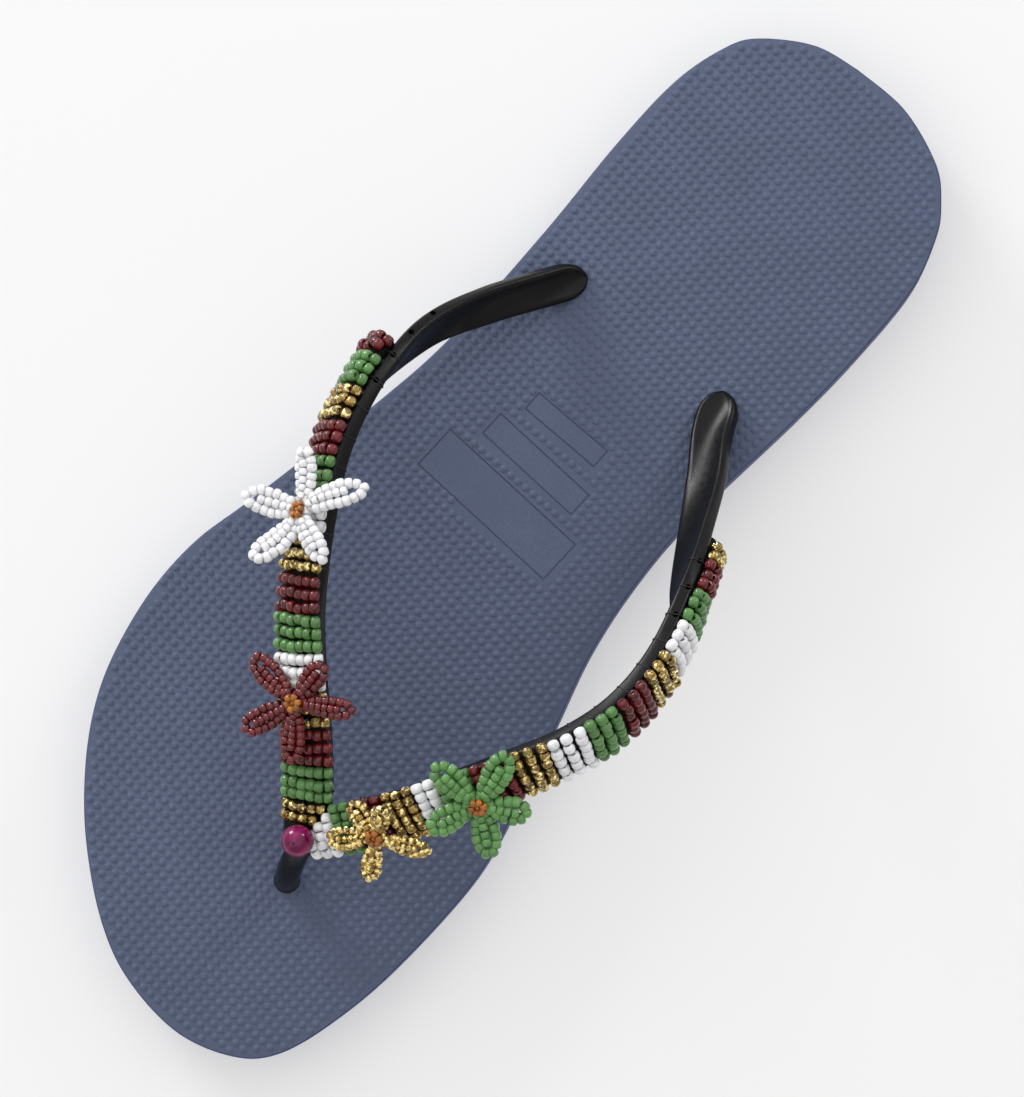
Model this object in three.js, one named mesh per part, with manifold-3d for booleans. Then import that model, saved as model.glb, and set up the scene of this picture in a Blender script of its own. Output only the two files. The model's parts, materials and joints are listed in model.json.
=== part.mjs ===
// A thong sandal for the right foot: a flat foam sole and a moulded rubber strap with two arms and
// a toe post, dressed with bands of seed beads, four beaded flowers and one large bead.
// Millimetres, +Z up. The origin is on the ground under the middle of the sole, +Y points to the
// toe and +X to the little-toe side.
import * as THREE from 'three';
import { mergeVertices } from 'three/addons/utils/BufferGeometryUtils.js';
import Module from 'manifold-3d';

const wasm = await Module();
wasm.setup();

// Sole
const HEEL_Y = -125;
const SOLE_LENGTH = 250;
const HEEL_THICKNESS = 16.5;
const TOE_THICKNESS = 13;
const OUTLINE_STEPS = 78;
const RECESS_RADIUS = 8;
const RECESS_DEPTH = 4;
const HOLE_SIDES = 20;

// Strap
const CLEARANCE = 0.3;
const PLUG_RADIUS = 7.5;
const PLUG_THICKNESS = 2.8;
const PLUG_SIDES = 28;
const SHANK_SIDES = 16;
const SHANK_REACH = 2;
const POST_RADIUS = 2.8;
const POST_STEPS = 14;
const STRAP_STEP = 4.3;
const EDGE_ROUND = 1.3;
const KNUCKLE_SIZE = new THREE.Vector3(4.5, 4.2, 2.2);
const KNUCKLE_TILT = -40;
// Each arm ends in a round tip: its length, and where its sections stand as shares of that.
const TIP_LENGTH = 5.5;
const TIP_SHARES = [0, 0.4, 0.7, 0.9, 0.99];
// A block from far below up to the sole's upper face, which trims the arms.
const TRIM = { width: 200, length: 300, depth: 40 };

// Beadwork
const ROW_PITCH = 2.6;
const BEAD_HEIGHT = 2.3;
const ROW_VALLEY = 0.78;
const BEAD_SEAT = 0.45;
const FIRST_ROW = 4;
const FORK_SPREAD = 0.65;
const ARCH_POINTS = 8;
const ARCH_SQUARENESS = 0.6;
const HUB_RADIUS = 1.7;
const HUB_STEPS = 9;
const STRAND_SIDES = 5;
const PETAL_START = 1.9;
const PETAL_STEPS = 10;
const PETAL_BEND = 0.4;
// A petal's half width as shares of half its full width, at its root and added towards its tip.
const PETAL_ROOT = 0.6;
const PETAL_FLARE = 0.55;
const CENTRE_RADIUS = 1.6;
const CENTRE_SIDES = 8;
const TOE_BEAD_RADIUS = 3.4;
const TOE_BEAD_CENTRE = new THREE.Vector3(-12.3, 75, 43.6);
const ROUND_STEPS = 12;
const ROUND_RINGS = 9;

// The edge of the sole, from the back of the heel round by the little-toe side.
const OUTLINE = [
  { x: -9, y: -125 }, { x: 1.3, y: -123.8 }, { x: 11.9, y: -118 }, { x: 16.6, y: -112 },
  { x: 20.8, y: -100 }, { x: 22.9, y: -82 }, { x: 24.1, y: -58 }, { x: 26.9, y: -28 },
  { x: 30.9, y: -9 }, { x: 35.8, y: 8 }, { x: 41, y: 26 }, { x: 44.9, y: 39 },
  { x: 46.2, y: 53 }, { x: 44.7, y: 68 }, { x: 41.2, y: 80 }, { x: 34.8, y: 92 },
  { x: 25.6, y: 104 }, { x: 13, y: 115.6 }, { x: 1, y: 122.2 }, { x: -14, y: 125 },
  { x: -26.8, y: 122 }, { x: -34.4, y: 115.6 }, { x: -39.8, y: 103 }, { x: -43.7, y: 86 },
  { x: -46, y: 62 }, { x: -44, y: 44 }, { x: -40.6, y: 26 }, { x: -37.1, y: 8 },
  { x: -36.1, y: -10 }, { x: -37.4, y: -28 }, { x: -42.6, y: -58 }, { x: -45, y: -76 },
  { x: -46, y: -94 }, { x: -43.6, y: -106 }, { x: -40.2, y: -112.4 }, { x: -34.3, y: -118.6 },
  { x: -22, y: -124 },
];

// Each arm from its tip on the sole to the fork. roll is the angle in degrees by which the outer
// face looks up from the horizontal, lift is how far the beadwork's padding raises its top, and wrap
// is how far the beadwork reaches past the arm's upper edge.
const MEDIAL_ARM = [
  { x: -27.3, y: -52.6, z: 14.2, width: 8.6, thick: 4.2, roll: -62, lift: 0, wrap: 1.2 },
  { x: -29.8, y: -45.4, z: 18.4, width: 8.9, thick: 3.6, roll: -62, lift: 0, wrap: 1.2 },
  { x: -34.9, y: -36.3, z: 26, width: 9.2, thick: 3, roll: -56, lift: 1.6, wrap: 1.2 },
  { x: -40.2, y: -25.2, z: 34.5, width: 9.2, thick: 3, roll: -37, lift: 2.6, wrap: 1.2 },
  { x: -44.9, y: -15, z: 41.5, width: 10.6, thick: 3.2, roll: -15, lift: 2.4, wrap: 1.3 },
  { x: -49.4, y: -5, z: 47, width: 11.5, thick: 3.4, roll: 14, lift: 1, wrap: 1.4 },
  { x: -51.1, y: 6, z: 52, width: 11.5, thick: 3.4, roll: 28, lift: 0, wrap: 1.3 },
  { x: -50.1, y: 16, z: 55.5, width: 11, thick: 3.4, roll: 38, lift: 0, wrap: 1.2 },
  { x: -46.3, y: 26.5, z: 57.8, width: 10.6, thick: 3.4, roll: 48, lift: 0, wrap: 1.3 },
  { x: -40.4, y: 36.5, z: 57.7, width: 10.3, thick: 3.4, roll: 57, lift: 0, wrap: 1.6 },
  { x: -34.2, y: 46.5, z: 54.6, width: 10.2, thick: 3.6, roll: 65, lift: 0, wrap: 1.8 },
  { x: -27.1, y: 57, z: 49, width: 10.2, thick: 3.9, roll: 70, lift: 0, wrap: 1.9 },
  { x: -19.2, y: 66.6, z: 42.3, width: 10, thick: 4.2, roll: 74, lift: 0, wrap: 1.9 },
  { x: -13.2, y: 73, z: 37.2, width: 9, thick: 4.4, roll: 78, lift: 0, wrap: 1.9 },
];
const LATERAL_ARM = [
  { x: 11.7, y: -55.2, z: 14.2, width: 8, thick: 4.2, roll: -62, lift: 0, wrap: 1.2 },
  { x: 16, y: -49.2, z: 18.4, width: 8.1, thick: 3.5, roll: -62, lift: 0, wrap: 1.2 },
  { x: 23.5, y: -38, z: 26.5, width: 8.2, thick: 3, roll: -56, lift: 0, wrap: 1.2 },
  { x: 29.3, y: -26.8, z: 34.5, width: 8.8, thick: 3, roll: -26, lift: 1.8, wrap: 1.2 },
  { x: 31.4, y: -15.5, z: 40.5, width: 10.8, thick: 3.2, roll: 1, lift: 2.8, wrap: 1.3 },
  { x: 31.2, y: -4.5, z: 45.2, width: 11.4, thick: 3.4, roll: 16, lift: 1.9, wrap: 1.4 },
  { x: 28.9, y: 6.5, z: 49, width: 11.2, thick: 3.4, roll: 27, lift: 0.8, wrap: 1.3 },
  { x: 24.9, y: 16.5, z: 51.6, width: 11, thick: 3.4, roll: 38, lift: 0, wrap: 1.2 },
  { x: 20, y: 26.5, z: 52.8, width: 10.6, thick: 3.4, roll: 48, lift: 0, wrap: 1.3 },
  { x: 14, y: 36.8, z: 52, width: 10.3, thick: 3.4, roll: 57, lift: 0, wrap: 1.6 },
  { x: 6.4, y: 47, z: 49.6, width: 10.2, thick: 3.6, roll: 65, lift: 0, wrap: 1.8 },
  { x: -1.6, y: 56.8, z: 46, width: 10.2, thick: 3.9, roll: 70, lift: 0, wrap: 1.9 },
  { x: -8.2, y: 66, z: 41.3, width: 10, thick: 4.2, roll: 74, lift: 0, wrap: 1.9 },
  { x: -12.4, y: 73, z: 37.2, width: 9, thick: 4.4, roll: 78, lift: 0, wrap: 1.9 },
];
const FORK = new THREE.Vector3(-12.7, 73.4, 36.8);
const POST_PATH = [
  { x: -12.7, y: 70.5, z: 37.2 }, { x: -12.8, y: 75.4, z: 34.6 }, { x: -13.2, y: 80, z: 28.2 },
  { x: -13.6, y: 83.4, z: 20.5 }, { x: -13.8, y: 84.9, z: 14 }, { x: -13.8, y: 85, z: 9 },
  { x: -13.8, y: 85, z: 2.5 },
];
// Where the strap goes through the sole, with the radius of its shank there.
const ANCHORS = [
  { x: -29, y: -48.6, shank: 1.9 }, { x: 14.3, y: -51.9, shank: 1.9 }, { x: -13.8, y: 85, shank: 2.8 },
];

// Finishes
const FINISH = {
  sole: { color: 0x4f5a78, roughness: 0.85 },
  strap: { color: 0x161616, roughness: 0.42 },
  white: { color: 0xe9e9ec, roughness: 0.25 },
  green: { color: 0x5f9a58, roughness: 0.3 },
  maroon: { color: 0x5e241f, roughness: 0.3 },
  gold: { color: 0xa07c36, roughness: 0.25 },
  amber: { color: 0xd07a12, roughness: 0.2 },
  magenta: { color: 0x8c1457, roughness: 0.12 },
};

// Bands of beads from the fork outwards: colour and number of rows.
const MEDIAL_BANDS = [
  ['white', 2], ['green', 2], ['maroon', 3], ['gold', 3], ['white', 2], ['green', 3], ['maroon', 3],
  ['gold', 3], ['white', 3], ['green', 3], ['maroon', 3], ['gold', 3], ['white', 3], ['green', 3],
  ['maroon', 3], ['gold', 2],
];
const LATERAL_BANDS = [
  ['gold', 2], ['green', 3], ['maroon', 3], ['gold', 3], ['white', 3], ['green', 3], ['maroon', 3],
  ['gold', 3], ['white', 3], ['green', 3], ['maroon', 3], ['gold', 3], ['green', 3], ['maroon', 2],
];

// Flowers: distance of the middle from the fork along the arm, its offset across the arm, the radius
// of a strand of its beads, and each petal's tip from the middle, with its width.
const FLOWERS = [
  {
    name: 'gold', arm: 'medial', along: 19.5, across: -1, strand: 0.95,
    petals: [
      { x: 8.1, y: 6.9, z: -3.5, width: 5.8 }, { x: 8.6, y: -2.9, z: 0.5, width: 5.4 },
      { x: 2.1, y: -5.8, z: 6, width: 5.2 }, { x: -11.1, y: -4.5, z: 1.5, width: 4.8 },
      { x: -4.1, y: 8.7, z: -4, width: 5.2 },
    ],
  },
  {
    name: 'green', arm: 'medial', along: 42.5, across: -0.4, strand: 1.2,
    petals: [
      { x: 5.2, y: 10.8, z: -1.5, width: 6.6 }, { x: -8.7, y: 7.7, z: -3, width: 6.8 },
      { x: -10.1, y: -4.9, z: -0.5, width: 6.4 }, { x: 1, y: -12.4, z: 5.2, width: 6.8 },
      { x: 12.3, y: -1.2, z: 3, width: 6.6 },
    ],
  },
  {
    name: 'maroon', arm: 'lateral', along: 31, across: 1, strand: 1.05,
    petals: [
      { x: 13.1, y: -2.4, z: -2, width: 6.4 }, { x: 5.6, y: 11.6, z: -3.5, width: 6.2 },
      { x: -6.8, y: 11, z: -3, width: 5.6 }, { x: -11.4, y: -6.1, z: 3.5, width: 5.2 },
      { x: -0.5, y: -10.4, z: 4, width: 5.8 },
    ],
  },
  {
    name: 'white', arm: 'lateral', along: 67.5, across: 3.2, strand: 1.15,
    petals: [
      { x: 7.8, y: -11.3, z: 0.5, width: 5.2 }, { x: 12.9, y: 4.7, z: -2.5, width: 6.6 },
      { x: 2.8, y: 14.5, z: 1.5, width: 6.4 }, { x: -10.6, y: 5.7, z: 4, width: 5.4 },
      { x: -8.7, y: -12.3, z: 2.5, width: 6.4 },
    ],
  },
];
// The dome in a flower's middle, as shares of its radius.
const CENTRE_PROFILE = [
  { radius: 0, height: 0 }, { radius: 0.8, height: 0 }, { radius: 1, height: 0.4 },
  { radius: 0.9, height: 0.8 }, { radius: 0.5, height: 1.1 }, { radius: 0, height: 1.15 },
];

const soleTop = (y) => {
  const share = (y - HEEL_Y) / SOLE_LENGTH;
  return HEEL_THICKNESS + (TOE_THICKNESS - HEEL_THICKNESS) * share;
};

// A closed three.js geometry as a solid for joining and cutting.
function toSolid(geometry) {
  const bare = geometry.clone();
  bare.deleteAttribute('normal');
  bare.deleteAttribute('uv');
  const welded = mergeVertices(bare, 1e-4);
  const vertProperties = Float32Array.from(welded.attributes.position.array);
  const triVerts = Uint32Array.from(welded.index.array);
  return new wasm.Manifold(new wasm.Mesh({ numProp: 3, vertProperties, triVerts }));
}

// The geometry of a solid's main body, without any sliver that joining left over.
function fromSolid(solid) {
  const [body] = solid.decompose().sort((a, b) => b.volume() - a.volume());
  const { vertProperties, triVerts } = body.getMesh();
  const geometry = new THREE.BufferGeometry();
  geometry.setAttribute('position', new THREE.BufferAttribute(vertProperties, 3));
  geometry.setIndex(new THREE.BufferAttribute(triVerts, 1));
  geometry.computeVertexNormals();
  return geometry;
}

// Skins a row of rings of equal length, closed by caps or, for a hoop, on itself.
function skin(rings, hoop = false) {
  const count = rings[0].length;
  const points = rings.flat();
  const faces = [];
  const last = hoop ? rings.length : rings.length - 1;
  for (let i = 0; i < last; i += 1) {
    const here = i * count;
    const next = ((i + 1) % rings.length) * count;
    for (let j = 0; j < count; j += 1) {
      const k = (j + 1) % count;
      faces.push(here + j, next + k, next + j);
      faces.push(here + j, here + k, next + k);
    }
  }
  if (!hoop) {
    const end = (rings.length - 1) * count;
    for (let j = 1; j < count - 1; j += 1) {
      faces.push(0, j + 1, j);
      faces.push(end, end + j, end + j + 1);
    }
  }
  const geometry = new THREE.BufferGeometry().setFromPoints(points);
  geometry.setIndex(faces);
  geometry.computeVertexNormals();
  return geometry;
}

// An arm read as a smooth path with its width, thickness, roll, lift and wrap at any distance from
// the fork, and the section's own axes there.
class Arm {
  constructor(rows, side) {
    const fromFork = [...rows].reverse();
    this.side = side;
    this.path = new THREE.CatmullRomCurve3(fromFork.map((r) => new THREE.Vector3(r.x, r.y, r.z)));
    this.path.arcLengthDivisions = 400;
    this.sizes = new THREE.CatmullRomCurve3(
      fromFork.map((r) => new THREE.Vector3(r.width, r.thick, r.roll)),
    );
    this.beads = new THREE.SplineCurve(fromFork.map((r) => new THREE.Vector2(r.wrap, r.lift)));
    this.length = this.path.getLength();
  }

  at(distance) {
    const share = THREE.MathUtils.clamp(distance / this.length, 0, 1);
    const t = this.path.getUtoTmapping(share);
    const centre = this.path.getPoint(t);
    const along = this.path.getTangent(t);
    const size = this.sizes.getPoint(t);
    const roll = THREE.MathUtils.degToRad(size.z);
    const level = new THREE.Vector3(along.y, -along.x, 0).normalize();
    level.multiplyScalar(Math.sign(level.x) * this.side);
    const raised = new THREE.Vector3().crossVectors(along, level);
    raised.multiplyScalar(Math.sign(raised.z));
    const outward = level.clone().multiplyScalar(Math.cos(roll));
    outward.addScaledVector(raised, Math.sin(roll));
    const across = raised.clone().multiplyScalar(Math.cos(roll));
    across.addScaledVector(level, -Math.sin(roll));
    const { x: wrap, y: rise } = this.beads.getPoint(t);
    const lift = Math.max(0, rise);
    return { centre, along, outward, across, width: size.x, thick: size.y, lift, wrap };
  }

  // A closed ring of section points given as distances out from the middle and across it.
  ring(place, section) {
    const turn = new THREE.Vector3().crossVectors(place.outward, place.across).dot(place.along);
    const ordered = turn < 0 ? [...section].reverse() : section;
    return ordered.map(([out, over]) => {
      const point = place.centre.clone().addScaledVector(place.outward, out);
      return point.addScaledVector(place.across, over);
    });
  }
}

const arms = { medial: new Arm(MEDIAL_ARM, -1), lateral: new Arm(LATERAL_ARM, 1) };
const UP = new THREE.Vector3(0, 0, 1);

// A flat bar's section with rounded edges.
function barSection(width, thick) {
  const points = [];
  const round = Math.min(EDGE_ROUND, thick / 2 - 0.1, width / 2 - 0.1);
  const corners = [[1, 1, 0], [-1, 1, 90], [-1, -1, 180], [1, -1, 270]];
  for (const [signOut, signOver, start] of corners) {
    for (const turn of [0, 45, 90]) {
      const angle = THREE.MathUtils.degToRad(start + turn);
      const out = signOut * (thick / 2 - round) + round * Math.cos(angle);
      const over = signOver * (width / 2 - round) + round * Math.sin(angle);
      points.push([out, over]);
    }
  }
  return points;
}

function armGeometry(arm) {
  const tipStart = arm.length - TIP_LENGTH;
  const steps = Math.round(tipStart / STRAP_STEP);
  const rings = [];
  for (let i = 0; i < steps; i += 1) {
    const place = arm.at((tipStart * i) / steps);
    rings.push(arm.ring(place, barSection(place.width, place.thick)));
  }
  for (const share of TIP_SHARES) {
    const place = arm.at(tipStart + TIP_LENGTH * share);
    const width = place.width * Math.sqrt(1 - share ** 2);
    rings.push(arm.ring(place, barSection(width, place.thick)));
  }
  return skin(rings);
}

function cylinder(radius, bottom, top, centre, sides) {
  const geometry = new THREE.CylinderGeometry(radius, radius, top - bottom, sides);
  geometry.rotateX(Math.PI / 2);
  geometry.translate(centre.x, centre.y, (top + bottom) / 2);
  return geometry;
}

function soleGeometry() {
  const edge = new THREE.SplineCurve([...OUTLINE, OUTLINE[0]].map((p) => new THREE.Vector2(p.x, p.y)));
  const shape = new THREE.Shape(edge.getSpacedPoints(OUTLINE_STEPS).slice(0, -1));
  const slab = new THREE.ExtrudeGeometry(shape, { depth: 1, bevelEnabled: false });
  const position = slab.attributes.position;
  for (let i = 0; i < position.count; i += 1) {
    if (position.getZ(i) > 0.5) position.setZ(i, soleTop(position.getY(i)));
  }
  let solid = toSolid(slab);
  for (const anchor of ANCHORS) {
    const hole = anchor.shank + CLEARANCE;
    const bore = cylinder(hole, -SHANK_REACH, HEEL_THICKNESS + SHANK_REACH, anchor, HOLE_SIDES);
    const recess = cylinder(RECESS_RADIUS, -SHANK_REACH, RECESS_DEPTH, anchor, PLUG_SIDES);
    solid = solid.subtract(toSolid(bore)).subtract(toSolid(recess));
  }
  return fromSolid(solid);
}

function strapGeometry() {
  // Everything below the sole's upper face is cut off the arms, whose tips sit on that face.
  const below = new THREE.BoxGeometry(TRIM.width, TRIM.length, TRIM.depth);
  const corner = below.attributes.position;
  for (let i = 0; i < corner.count; i += 1) {
    const top = soleTop(corner.getY(i)) + CLEARANCE;
    corner.setZ(i, corner.getZ(i) > 0 ? top : -TRIM.depth);
  }
  let solid = toSolid(armGeometry(arms.medial)).add(toSolid(armGeometry(arms.lateral)));
  solid = solid.subtract(toSolid(below));

  const knuckle = new THREE.SphereGeometry(1, ROUND_STEPS, ROUND_RINGS);
  knuckle.scale(KNUCKLE_SIZE.x, KNUCKLE_SIZE.y, KNUCKLE_SIZE.z);
  knuckle.rotateX(THREE.MathUtils.degToRad(KNUCKLE_TILT));
  knuckle.translate(FORK.x, FORK.y, FORK.z);
  solid = solid.add(toSolid(knuckle));

  const disc = new THREE.Shape();
  disc.absarc(0, 0, POST_RADIUS, 0, Math.PI * 2);
  const route = new THREE.CatmullRomCurve3(POST_PATH.map((p) => new THREE.Vector3(p.x, p.y, p.z)));
  const sweep = { steps: POST_STEPS, curveSegments: 6, extrudePath: route };
  solid = solid.add(toSolid(new THREE.ExtrudeGeometry(disc, sweep)));

  const plugTop = RECESS_DEPTH - CLEARANCE;
  for (const anchor of ANCHORS) {
    const plugBottom = plugTop - PLUG_THICKNESS;
    const shankTop = soleTop(anchor.y) + SHANK_REACH;
    const shank = cylinder(anchor.shank, plugBottom, shankTop, anchor, SHANK_SIDES);
    const plug = cylinder(PLUG_RADIUS, plugBottom, plugTop, anchor, PLUG_SIDES);
    solid = solid.add(toSolid(plug)).add(toSolid(shank));
  }
  return fromSolid(solid);
}

// One band of bead rows: an arch over the padded outer face of the arm and past its upper edge,
// pinched between its rows.
function bandGeometry(arm, start, rows) {
  const rings = [];
  for (let i = 0; i <= rows * 2; i += 1) {
    const inset = i === 0 ? CLEARANCE / 2 : i === rows * 2 ? -CLEARANCE / 2 : 0;
    const place = arm.at(start + (i * ROW_PITCH) / 2 + inset);
    const height = place.lift + BEAD_HEIGHT * (i % 2 === 0 ? ROW_VALLEY : 1);
    const base = place.thick / 2 + BEAD_SEAT;
    const spread = FORK_SPREAD * (start + (i * ROW_PITCH) / 2);
    const upper = Math.min(place.width / 2 + place.wrap, spread);
    const lower = -place.width / 2;
    const section = [];
    for (let j = 0; j < ARCH_POINTS; j += 1) {
      const angle = (Math.PI * j) / (ARCH_POINTS - 1);
      const out = base + height * Math.sin(angle) ** ARCH_SQUARENESS;
      const over = THREE.MathUtils.lerp(lower, upper, (1 - Math.cos(angle)) / 2);
      section.push([j % (ARCH_POINTS - 1) === 0 ? base : out, over]);
    }
    rings.push(arm.ring(place, section));
  }
  return skin(rings);
}

// A petal is one strand of beads bent into a loop: it leaves the flower's middle along the face,
// bends to its tip and comes back. The loop lies halfway between the face and the level.
function petalGeometry(middle, petal, normal, strand) {
  const reach = new THREE.Vector3(petal.x, petal.y, petal.z);
  const length = reach.length();
  const half = petal.width / 2 - strand;
  const flat = reach.clone().addScaledVector(normal, -reach.dot(normal));
  const bend = middle.clone().addScaledVector(flat, 0.5).addScaledVector(normal, PETAL_BEND);
  const spine = new THREE.QuadraticBezierCurve3(middle, bend, middle.clone().add(reach));
  const facing = normal.clone().add(UP).normalize();
  const aside = facing.clone().cross(reach).normalize();
  const first = PETAL_START / length;
  const last = 1 - strand / length;
  const point = (turn) => {
    const out = (1 - Math.cos(turn)) / 2;
    const spread = half * Math.sin(turn) * (PETAL_ROOT + PETAL_FLARE * out);
    return spine.getPoint(first + (last - first) * out).addScaledVector(aside, spread);
  };
  const rings = [];
  const nearby = 0.05;
  for (let i = 0; i < PETAL_STEPS; i += 1) {
    const turn = (Math.PI * 2 * i) / PETAL_STEPS;
    const centre = point(turn);
    const heading = point(turn + nearby).sub(point(turn - nearby)).normalize();
    const along = spine.getTangent(first + ((last - first) * (1 - Math.cos(turn))) / 2);
    const raised = along.clone().cross(aside).normalize();
    const side = raised.clone().cross(heading).normalize();
    const ring = [];
    for (let j = 0; j < STRAND_SIDES; j += 1) {
      const angle = (Math.PI * 2 * j) / STRAND_SIDES;
      const spot = centre.clone().addScaledVector(side, strand * Math.cos(angle));
      ring.push(spot.addScaledVector(raised, strand * Math.sin(angle)));
    }
    rings.push(ring);
  }
  return skin(rings, true);
}

function flowerPlace(flower) {
  const place = arms[flower.arm].at(flower.along);
  const beadTop = place.thick / 2 + BEAD_SEAT + place.lift + BEAD_HEIGHT;
  const height = beadTop + CLEARANCE + flower.strand;
  const middle = place.centre.clone().addScaledVector(place.outward, height);
  middle.addScaledVector(place.across, flower.across);
  return { middle, place };
}

// Lays a thing modelled round the origin, its axis up, on an arm's outer face.
function layOn(geometry, middle, outward) {
  const turn = new THREE.Quaternion().setFromUnitVectors(UP, outward);
  geometry.applyQuaternion(turn);
  geometry.translate(middle.x, middle.y, middle.z);
  return geometry;
}

function flowerGeometry(flower) {
  const { middle, place } = flowerPlace(flower);
  const hub = new THREE.TorusGeometry(HUB_RADIUS, flower.strand, STRAND_SIDES, HUB_STEPS);
  let solid = toSolid(layOn(hub, middle, place.outward));
  for (const petal of flower.petals) {
    solid = solid.add(toSolid(petalGeometry(middle, petal, place.outward, flower.strand)));
  }
  return fromSolid(solid);
}

function centreGeometry(flower) {
  const { middle, place } = flowerPlace(flower);
  const points = CENTRE_PROFILE.map((p) => new THREE.Vector2(p.radius, p.height));
  const dome = new THREE.LatheGeometry(points, CENTRE_SIDES);
  dome.scale(CENTRE_RADIUS, CENTRE_RADIUS, CENTRE_RADIUS);
  dome.rotateX(Math.PI / 2);
  const seat = middle.clone().addScaledVector(place.outward, flower.strand + CLEARANCE * 1.5);
  return layOn(dome, seat, place.outward);
}

const group = new THREE.Group();

function addPiece(name, geometry, finish) {
  const material = new THREE.MeshStandardMaterial({ ...FINISH[finish], metalness: 0 });
  const mesh = new THREE.Mesh(geometry, material);
  mesh.name = name;
  group.add(mesh);
}

addPiece('sole', soleGeometry(), 'sole');
addPiece('strap', strapGeometry(), 'strap');

for (const [armName, bands] of [['medial', MEDIAL_BANDS], ['lateral', LATERAL_BANDS]]) {
  let start = FIRST_ROW;
  bands.forEach(([colour, rows], index) => {
    const number = String(index + 1).padStart(2, '0');
    addPiece(`${armName}_band_${number}`, bandGeometry(arms[armName], start, rows), colour);
    start += rows * ROW_PITCH;
  });
}

for (const flower of FLOWERS) {
  addPiece(`flower_${flower.name}`, flowerGeometry(flower), flower.name);
  addPiece(`flower_centre_${flower.name}`, centreGeometry(flower), 'amber');
}

const toeBead = new THREE.SphereGeometry(TOE_BEAD_RADIUS, ROUND_STEPS, ROUND_RINGS);
toeBead.translate(TOE_BEAD_CENTRE.x, TOE_BEAD_CENTRE.y, TOE_BEAD_CENTRE.z);
addPiece('toe_bead', toeBead, 'magenta');

export default group;
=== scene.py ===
"""Dresses a beaded thong sandal: foam sole, moulded strap, rows of seed beads, four beaded flowers
and one large bead. Tables are in millimetres; meshes and settings are in metres."""

import json
import math
import random
from collections import namedtuple

import bmesh
import bpy
import numpy as np
from mathutils import Matrix, Vector

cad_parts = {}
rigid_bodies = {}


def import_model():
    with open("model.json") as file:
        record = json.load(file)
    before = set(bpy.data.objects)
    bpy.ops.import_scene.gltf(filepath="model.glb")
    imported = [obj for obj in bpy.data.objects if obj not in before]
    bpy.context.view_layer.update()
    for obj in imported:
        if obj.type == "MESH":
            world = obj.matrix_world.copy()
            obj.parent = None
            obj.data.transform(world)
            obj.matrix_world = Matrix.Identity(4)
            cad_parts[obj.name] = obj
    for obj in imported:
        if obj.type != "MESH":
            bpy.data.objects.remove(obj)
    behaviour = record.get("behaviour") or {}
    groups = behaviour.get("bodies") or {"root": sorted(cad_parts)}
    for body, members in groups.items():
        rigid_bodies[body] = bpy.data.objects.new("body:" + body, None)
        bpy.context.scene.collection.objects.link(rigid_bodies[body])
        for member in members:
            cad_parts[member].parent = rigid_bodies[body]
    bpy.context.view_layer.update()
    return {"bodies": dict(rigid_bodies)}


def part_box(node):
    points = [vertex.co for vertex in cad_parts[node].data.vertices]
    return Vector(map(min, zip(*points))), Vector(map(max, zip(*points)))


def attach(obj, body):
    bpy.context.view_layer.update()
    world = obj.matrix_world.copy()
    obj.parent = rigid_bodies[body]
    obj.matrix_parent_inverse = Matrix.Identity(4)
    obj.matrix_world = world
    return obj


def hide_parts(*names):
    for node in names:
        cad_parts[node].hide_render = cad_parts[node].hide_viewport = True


bl_info = {
    "name": "Beaded thong sandal",
    "version": (1, 0, 0),
    "blender": (4, 5, 0),
    "location": "3D View > Sidebar > Sandal",
    "description": "Builds the sole, strap, beadwork and stage of a beaded thong sandal",
    "category": "Object",
}

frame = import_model()
BODY = next(iter(frame["bodies"]))
MM = 0.001
UP = Vector((0, 0, 1))

# The sole's edge from the back of the heel round by the little-toe side, as x, y.
EDGE = [
    (-9, -125), (1.3, -123.8), (11.9, -118), (16.6, -112), (20.8, -100), (22.9, -82), (24.1, -58),
    (26.9, -28), (30.9, -9), (35.8, 8), (41, 26), (44.9, 39), (46.2, 53), (44.7, 68), (41.2, 80),
    (34.8, 92), (25.6, 104), (13, 115.6), (1, 122.2), (-14, 125), (-26.8, 122), (-34.4, 115.6),
    (-39.8, 103), (-43.7, 86), (-46, 62), (-44, 44), (-40.6, 26), (-37.1, 8), (-36.1, -10),
    (-37.4, -28), (-42.6, -58), (-45, -76), (-46, -94), (-43.6, -106), (-40.2, -112.4),
    (-34.3, -118.6), (-22, -124),
]
EDGE_STEPS = 420
HEEL_Y = -125
SOLE_LENGTH = 250
HEEL_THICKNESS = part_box("sole")[1].z / MM
TOE_DROP = 3.5

# Where the strap goes through the sole, with the radius of its shank.
Anchor = namedtuple("Anchor", "x y shank")
ANCHORS = [Anchor(-29, -48.6, 1.9), Anchor(14.3, -51.9, 1.9), Anchor(-13.8, 85, 2.8)]
CLEARANCE = 0.3
PLUG_RADIUS = 7.5
PLUG_THICKNESS = 2.8
RECESS_RADIUS = 8
RECESS_DEPTH = 4
TOP_SKIN = 1.2

# Smooth framed panels of the footbed: middle, size, and turn in degrees.
Panel = namedtuple("Panel", "x y width height turn")
PANELS = [
    Panel(-2.2, -5.5, 35.8, 9.7, -6.2),
    Panel(-3.8, -17.3, 25.2, 5.3, -6.3),
    Panel(-4.7, -27, 18.7, 4.1, -4),
]

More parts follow.
